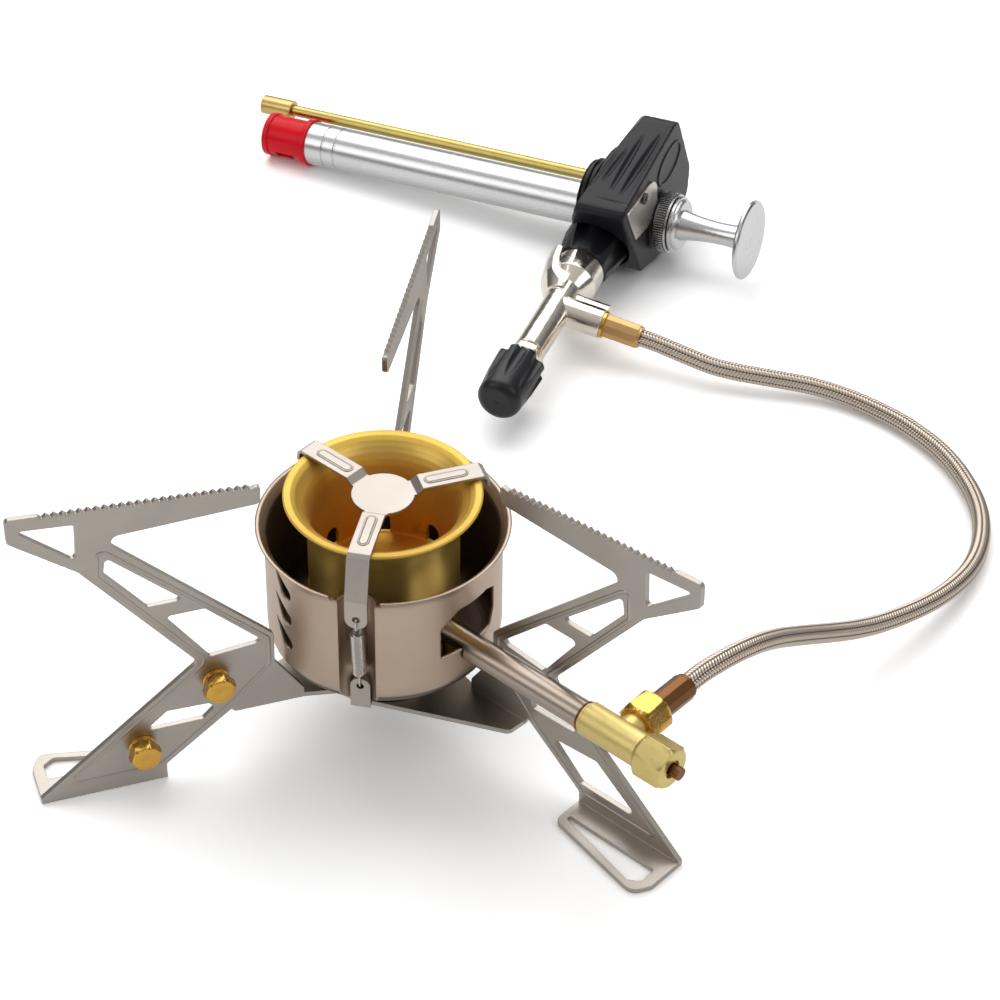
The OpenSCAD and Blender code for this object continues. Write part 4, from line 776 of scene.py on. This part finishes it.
def head_oval(bar, finish):
    """Bare raised oval on the head's end face."""
    face, middle, half, tilt = 13.25, Vector((7.06, 15.32)), (8.3, 4.45), math.radians(11.8)
    path, steps = [], 72
    for k in range(steps):
        a = 2 * math.pi * k / steps
        y, z = half[0] * math.cos(a), half[1] * math.sin(a)
        path.append(PUMP @ Vector((face, middle.x + y * math.cos(tilt) - z * math.sin(tilt),
                                   middle.y + y * math.sin(tilt) + z * math.cos(tilt))))
    mesh = bar.grow("head_oval", path_mesh("oval_path", path, closed=True), Finish=finish,
                    Radius=0.5 * MM, Sides=16)
    piece("head_oval", mesh, "stove", sharp=0)


def turned_piece(name, shape, place, body, finish, node):
    """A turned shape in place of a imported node."""
    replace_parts(piece(name, to_mesh(name, *shape, place), body, finish), node)


def nuts(end_finish, branch_finish, jet_finish, gland_finish):
    """Nuts and jets turned from hexagon bar, with chamfered corners."""
    tee_nut, jet_hexagon, gland_hexagon = 9.8, 6.8, 8.4
    end_x, branch_x, branch_y, burner_z, gland_z, jet_turn = 80, 73.5, 5.4, 40.7, 74, 11
    end = turned_hexagon(tee_nut, [(0, 4.3), (0.3, 4.6), (0.7, 4.7), (0.75, 5.1), (1.3, 5.7), (7.9, 5.7),
                                   (8.6, 5.0), (8.8, 4.7), (8.8, 2.3), (7.8, 2.2), (7.8, 1.65)])
    turned_piece("turned_end_nut", end, along((end_x, 0, TUBE_Z)), "stove", end_finish,
                 "tee_end_nut")
    branch = turned_hexagon(tee_nut, [(0, 1.4), (0, 4.5), (0.6, 5.1), (0.9, 5.7), (6.2, 5.7), (6.9, 5.2),
                                      (7.2, 4.8), (7.6, 4.4), (7.6, 1.4)])
    place = STOVE @ Matrix.Translation((branch_x, branch_y, TUBE_Z)) @ rot(-90, "X")
    turned_piece("turned_branch_nut", branch, place, "stove", branch_finish, "branch_nut")
    jet = turned_hexagon(jet_hexagon, [(-1.2, 2.1), (0, 2.2), (0, 3.25), (0.25, 3.4), (0.75, 3.4),
                                       (0.95, 2.95), (1.45, 2.95), (1.7, 3.4), (2.2, 3.93), (4.35, 3.93),
                                       (4.9, 3.45), (5.1, 3.0), (5.2, 2.4), (5.2, 0.5), (5.1, 0.3),
                                       (5.1, 0.1)])
    spare = []
    for r, z in ((43.8, 28.2), (62.6, 12.0)):
        place = (STOVE @ rot(LEG_TURNS["left_leg"], "Z") @ Matrix.Translation((r, LEG_OUTER, z))
                 @ rot(-90, "X") @ rot(jet_turn, "Z"))
        spare.append(placed(jet, place))
    turned_piece("turned_spare_jets", merged(*spare), Matrix(), "left_leg", jet_finish, "spare_jets")
    burner = turned_hexagon(jet_hexagon, [(-3, 2.1), (0, 2.2), (0, 3.4), (0.4, 3.93), (2.6, 3.93),
                                          (3.1, 3.5), (3.4, 2.8), (3.7, 2.5), (3.8, 2.2), (3.8, 0.6),
                                          (3.5, 0.3), (2.4, 0.3)])
    turned_piece("turned_burner_jet", burner, along((0, 0, burner_z), pitch=0), "stove", jet_finish,
                 "burner_jet")
    gland = turned_hexagon(gland_hexagon, [(0, 1.8), (0, 4.0), (0.4, 4.15), (0.6, 4.4), (0.9, 4.85),
                                           (2.5, 4.85), (2.9, 4.4), (3.1, 4.0), (3.4, 3.6), (3.4, 1.8)])
    turned_piece("turned_gland_nut", gland, VALVE @ Matrix.Translation((0, 0, gland_z)), "stove",
                 gland_finish, "gland_nut")


def arm_beads(bar, finish):
    """Pressed outline round the rib on each of the spreader's arms."""
    near, far, half, top, radius = 11.4, 19.4, 1.2, 69.42, 0.26
    outline = []
    for middle, first, last in ((near, 90, 270), (far, -90, 90)):
        for degrees in range(first, last + 1, 15):
            a = math.radians(degrees)
            outline.append((middle + half * math.cos(a), half * math.sin(a)))
    for name, turn in ARM_TURNS.items():
        place = STOVE @ rot(turn, "Z")
        path = path_mesh("arm_outline", [place @ Vector((x, y, top)) for x, y in outline], closed=True)
        mesh = bar.grow(name + "_arm_bead", path, Finish=finish, Radius=radius * MM, Sides=12)
        piece(name + "_arm_bead", mesh, "stove", sharp=0)


def tee_solder(bar, finish):
    """Ring of solder where the sleeve meets the tee."""
    sleeve_end, reach, radius, steps = 63, 3.42, 0.42, 48
    place, circle = along((sleeve_end, 0, TUBE_Z)), []
    for k in range(steps):
        a = 2 * math.pi * k / steps
        circle.append(place @ Vector((reach * math.cos(a), reach * math.sin(a), 0)))
    mesh = bar.grow("tee_solder", path_mesh("solder_path", circle, closed=True), Finish=finish,
                    Radius=radius * MM, Sides=12)
    piece("tee_solder", mesh, "stove", sharp=0)


def paper_floor():
    """White floor that keeps soft shadows: brighter to the camera, and a little aglow in reflections."""
    size, drop, glow_share = 4.0, -5e-5, 0.3
    mesh = bpy.data.meshes.new("floor")
    mesh.from_pydata([(-size, -size, drop), (size, -size, drop), (size, size, drop), (-size, size, drop)],
                     [], [(0, 1, 2, 3)])
    floor = bpy.data.objects.new("floor", mesh)
    scene.collection.objects.link(floor)
    paper = Finish("white_paper")
    rays = paper.node("ShaderNodeLightPath").socket.node
    camera_ray, glossy, through = (Wire(paper, rays.outputs["Is " + kind + " Ray"])
                                   for kind in ("Camera", "Glossy", "Transmission"))
    mirrored = glossy.math("MAXIMUM", glossy, through)
    dull = paper.node("ShaderNodeBsdfDiffuse", {}, {"Color": rgb(0.93, 0.93, 0.93)})
    glow = paper.node("ShaderNodeEmission", {}, {"Color": rgb(1, 1, 1), "Strength": 1.0})
    both = paper.node("ShaderNodeMixShader", {}, {0: mirrored * glow_share, 1: dull, 2: glow})
    white = paper.node("ShaderNodeBsdfDiffuse", {}, {"Color": rgb(1.3, 1.3, 1.3)})
    surface = paper.node("ShaderNodeMixShader", {}, {0: camera_ray, 1: both, 2: white})
    paper.node("ShaderNodeOutputMaterial", {}, {"Surface": surface})
    mesh.materials.append(paper.material)


def even_sky():
    """Grey sky, lighter overhead."""
    world = bpy.data.worlds.new("sky")
    world.use_nodes = True
    world.node_tree.nodes.clear()
    sky = Nodes(world.node_tree)
    up = sky.node("ShaderNodeSeparateXYZ", {}, {0: sky.node("ShaderNodeTexCoord", out="Generated")}, out="Z")
    stops = [(0.0, rgb(0.10, 0.10, 0.105)), (0.30, rgb(0.16, 0.16, 0.165)), (0.55, rgb(0.38, 0.38, 0.385)),
             (1.0, rgb(0.60, 0.60, 0.60))]
    shade = sky.node("ShaderNodeValToRGB", {"stops": stops}, {"Fac": up})
    light = sky.node("ShaderNodeBackground", {}, {"Color": shade, "Strength": 1.0})
    sky.node("ShaderNodeOutputWorld", {}, {"Surface": light})
    scene.world = world


def soft_lamps():
    """Three soft lamps: name, place from the burner and width in metres, power in watts."""
    middle = BURNER + Vector((-0.03, 0.06, 0.02))
    for name, place, wide, power in (("back_softbox", (-0.60, 0.62, 1.10), 1.5, 15.5),
                                     ("right_softbox", (1.05, 0.25, 0.75), 0.7, 2.6),
                                     ("front_softbox", (-0.45, -1.0, 0.75), 0.7, 2.6)):
        lamp = bpy.data.lights.new(name, "AREA")
        lamp.shape, lamp.size, lamp.energy = "SQUARE", wide, power
        obj = bpy.data.objects.new(name, lamp)
        obj.location = BURNER + Vector(place)
        obj.rotation_euler = (middle - obj.location).to_track_quat("-Z", "Y").to_euler()
        scene.collection.objects.link(obj)


def coat_nodes(finishes):
    """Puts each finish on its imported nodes."""
    for finish, names in finishes:
        for name in names:
            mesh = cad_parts[name].data
            mesh.materials.clear()
            mesh.materials.append(finish)


def main():
    aim_camera()
    fuel_hose(braided_steel())

    leg_steel = sheet_metal("leg_steel", rgb(0.47, 0.43, 0.385), rgb(0.36, 0.325, 0.285), 0.36)
    bright_steel = sheet_metal("bright_steel", rgb(0.66, 0.62, 0.57), rgb(0.54, 0.50, 0.45), 0.27)
    spreader_steel = sheet_metal("spreader_steel", rgb(0.50, 0.455, 0.41), rgb(0.40, 0.355, 0.315), 0.38)
    dark_steel = sheet_metal("dark_steel", rgb(0.09, 0.085, 0.08), rgb(0.05, 0.045, 0.042), 0.35)
    pale_brass = turned_brass("pale_brass", rgb(0.74, 0.60, 0.25), rgb(0.62, 0.485, 0.17), 0.40, spots=0.4)
    filter_brass = turned_brass("filter_brass", rgb(0.64, 0.45, 0.18), rgb(0.50, 0.33, 0.11), 0.28)
    gold_brass = turned_brass("gold_brass", rgb(0.74, 0.46, 0.12), rgb(0.56, 0.32, 0.07), 0.17)
    jet_gold = turned_brass("jet_gold", rgb(0.72, 0.42, 0.09), rgb(0.55, 0.29, 0.055), 0.22)
    dark_bronze = turned_brass("dark_bronze", rgb(0.22, 0.105, 0.042), rgb(0.14, 0.06, 0.024), 0.30)
    tan_brass = turned_brass("tan_brass", rgb(0.66, 0.41, 0.18), rgb(0.50, 0.295, 0.115), 0.33)
    yellow_brass = turned_brass("yellow_brass", rgb(0.52, 0.42, 0.145), rgb(0.42, 0.33, 0.10), 0.26)
    nickel = plated_nickel()
    black = moulded_plastic("black_plastic", rgb(0.011, 0.0105, 0.013), 0.32, shine=0.38)
    head_black = moulded_plastic("head_black", rgb(0.011, 0.0105, 0.0135), 0.34, 0.0003, 0.26)
    red = moulded_plastic("red_plastic", rgb(0.76, 0.003, 0.013), 0.28, shine=0.18)
    rubber = soft_matter("rubber", rgb(0.022, 0.022, 0.022), rgb(0.012, 0.012, 0.012), 1500, 0.00004, 0.6)
    felt = soft_matter("felt", rgb(0.72, 0.68, 0.60), rgb(0.42, 0.38, 0.32), 900, 0.0003, 0.9)
    leather = soft_matter("leather", rgb(0.20, 0.12, 0.07), rgb(0.11, 0.06, 0.035), 700, 0.0002, 0.6)
    tube_metal = turned_aluminium("drawn_tube", 9, 12, 0)
    handle_metal = turned_aluminium("turned_handle", 0.6, 2600, 3000, 0.24)
    knurl_shade = [c * MM for c in (KNURL_START, KNURL_START + KNURL_LENGTH, KNURL_SHADE_TOP)]
    knurl_metal = turned_aluminium("knurled_nut", 0.6, 2600, 3000, 0.24, knurl_shade)

    coat_nodes([
        (cup_steel(), ["cup"]), (bell_brass(), ["burner_bell"]), (hot_sleeve(), ["fuel_sleeve"]),
        (leg_steel, ["fixed_leg", "left_leg", "back_leg", "base_plate", "pivot_spacer", "fuel_pipe"]),
        (bright_steel, ["pivot_rivet", "check_ball", "clip_plate", "plunger_rod", "valve_spindle",
                        "strap_spring"]),
        (spreader_steel, ["flame_spreader"]), (dark_steel, ["clip_screw"]),
        (pale_brass, ["tee_body", "tee_end_nut", "jet_block"]), (gold_brass, ["branch_nut", "branch_ring"]),
        (jet_gold, ["spare_jets", "burner_jet"]), (dark_bronze, ["stove_ferrule", "tee_pin"]),
        (tan_brass, ["valve_ferrule"]), (filter_brass, ["rod_filter"]), (yellow_brass, ["dip_rod"]),
        (nickel, ["valve_body", "gland_nut"]), (tube_metal, ["pump_tube"]),
        (handle_metal, ["plunger_handle"]), (knurl_metal, ["knurled_nut"]),
        (black, ["pump_head", "bottle_thread", "coupling_collar", "control_knob"]), (red, ["check_valve"]),
        (rubber, ["thread_gasket", "coupling_seal", "spindle_seal"]), (felt, ["priming_pad"]),
        (leather, ["piston_cup"])])
    bar, ring = bead_tree(), ring_tree()
    strap_spring(bar, bright_steel)
    leg_beads(bar, leg_steel)
    knurl_teeth(ring, knurl_metal)
    bottle_thread(black)
    pump_head(head_black)
    head_oval(bar, head_black)
    nuts(pale_brass, gold_brass, jet_gold, nickel)
    arm_beads(bar, spreader_steel)
    tee_solder(bar, dark_bronze)
    paper_floor()
    even_sky()
    soft_lamps()
    scene.view_settings.view_transform = "Standard"


main()
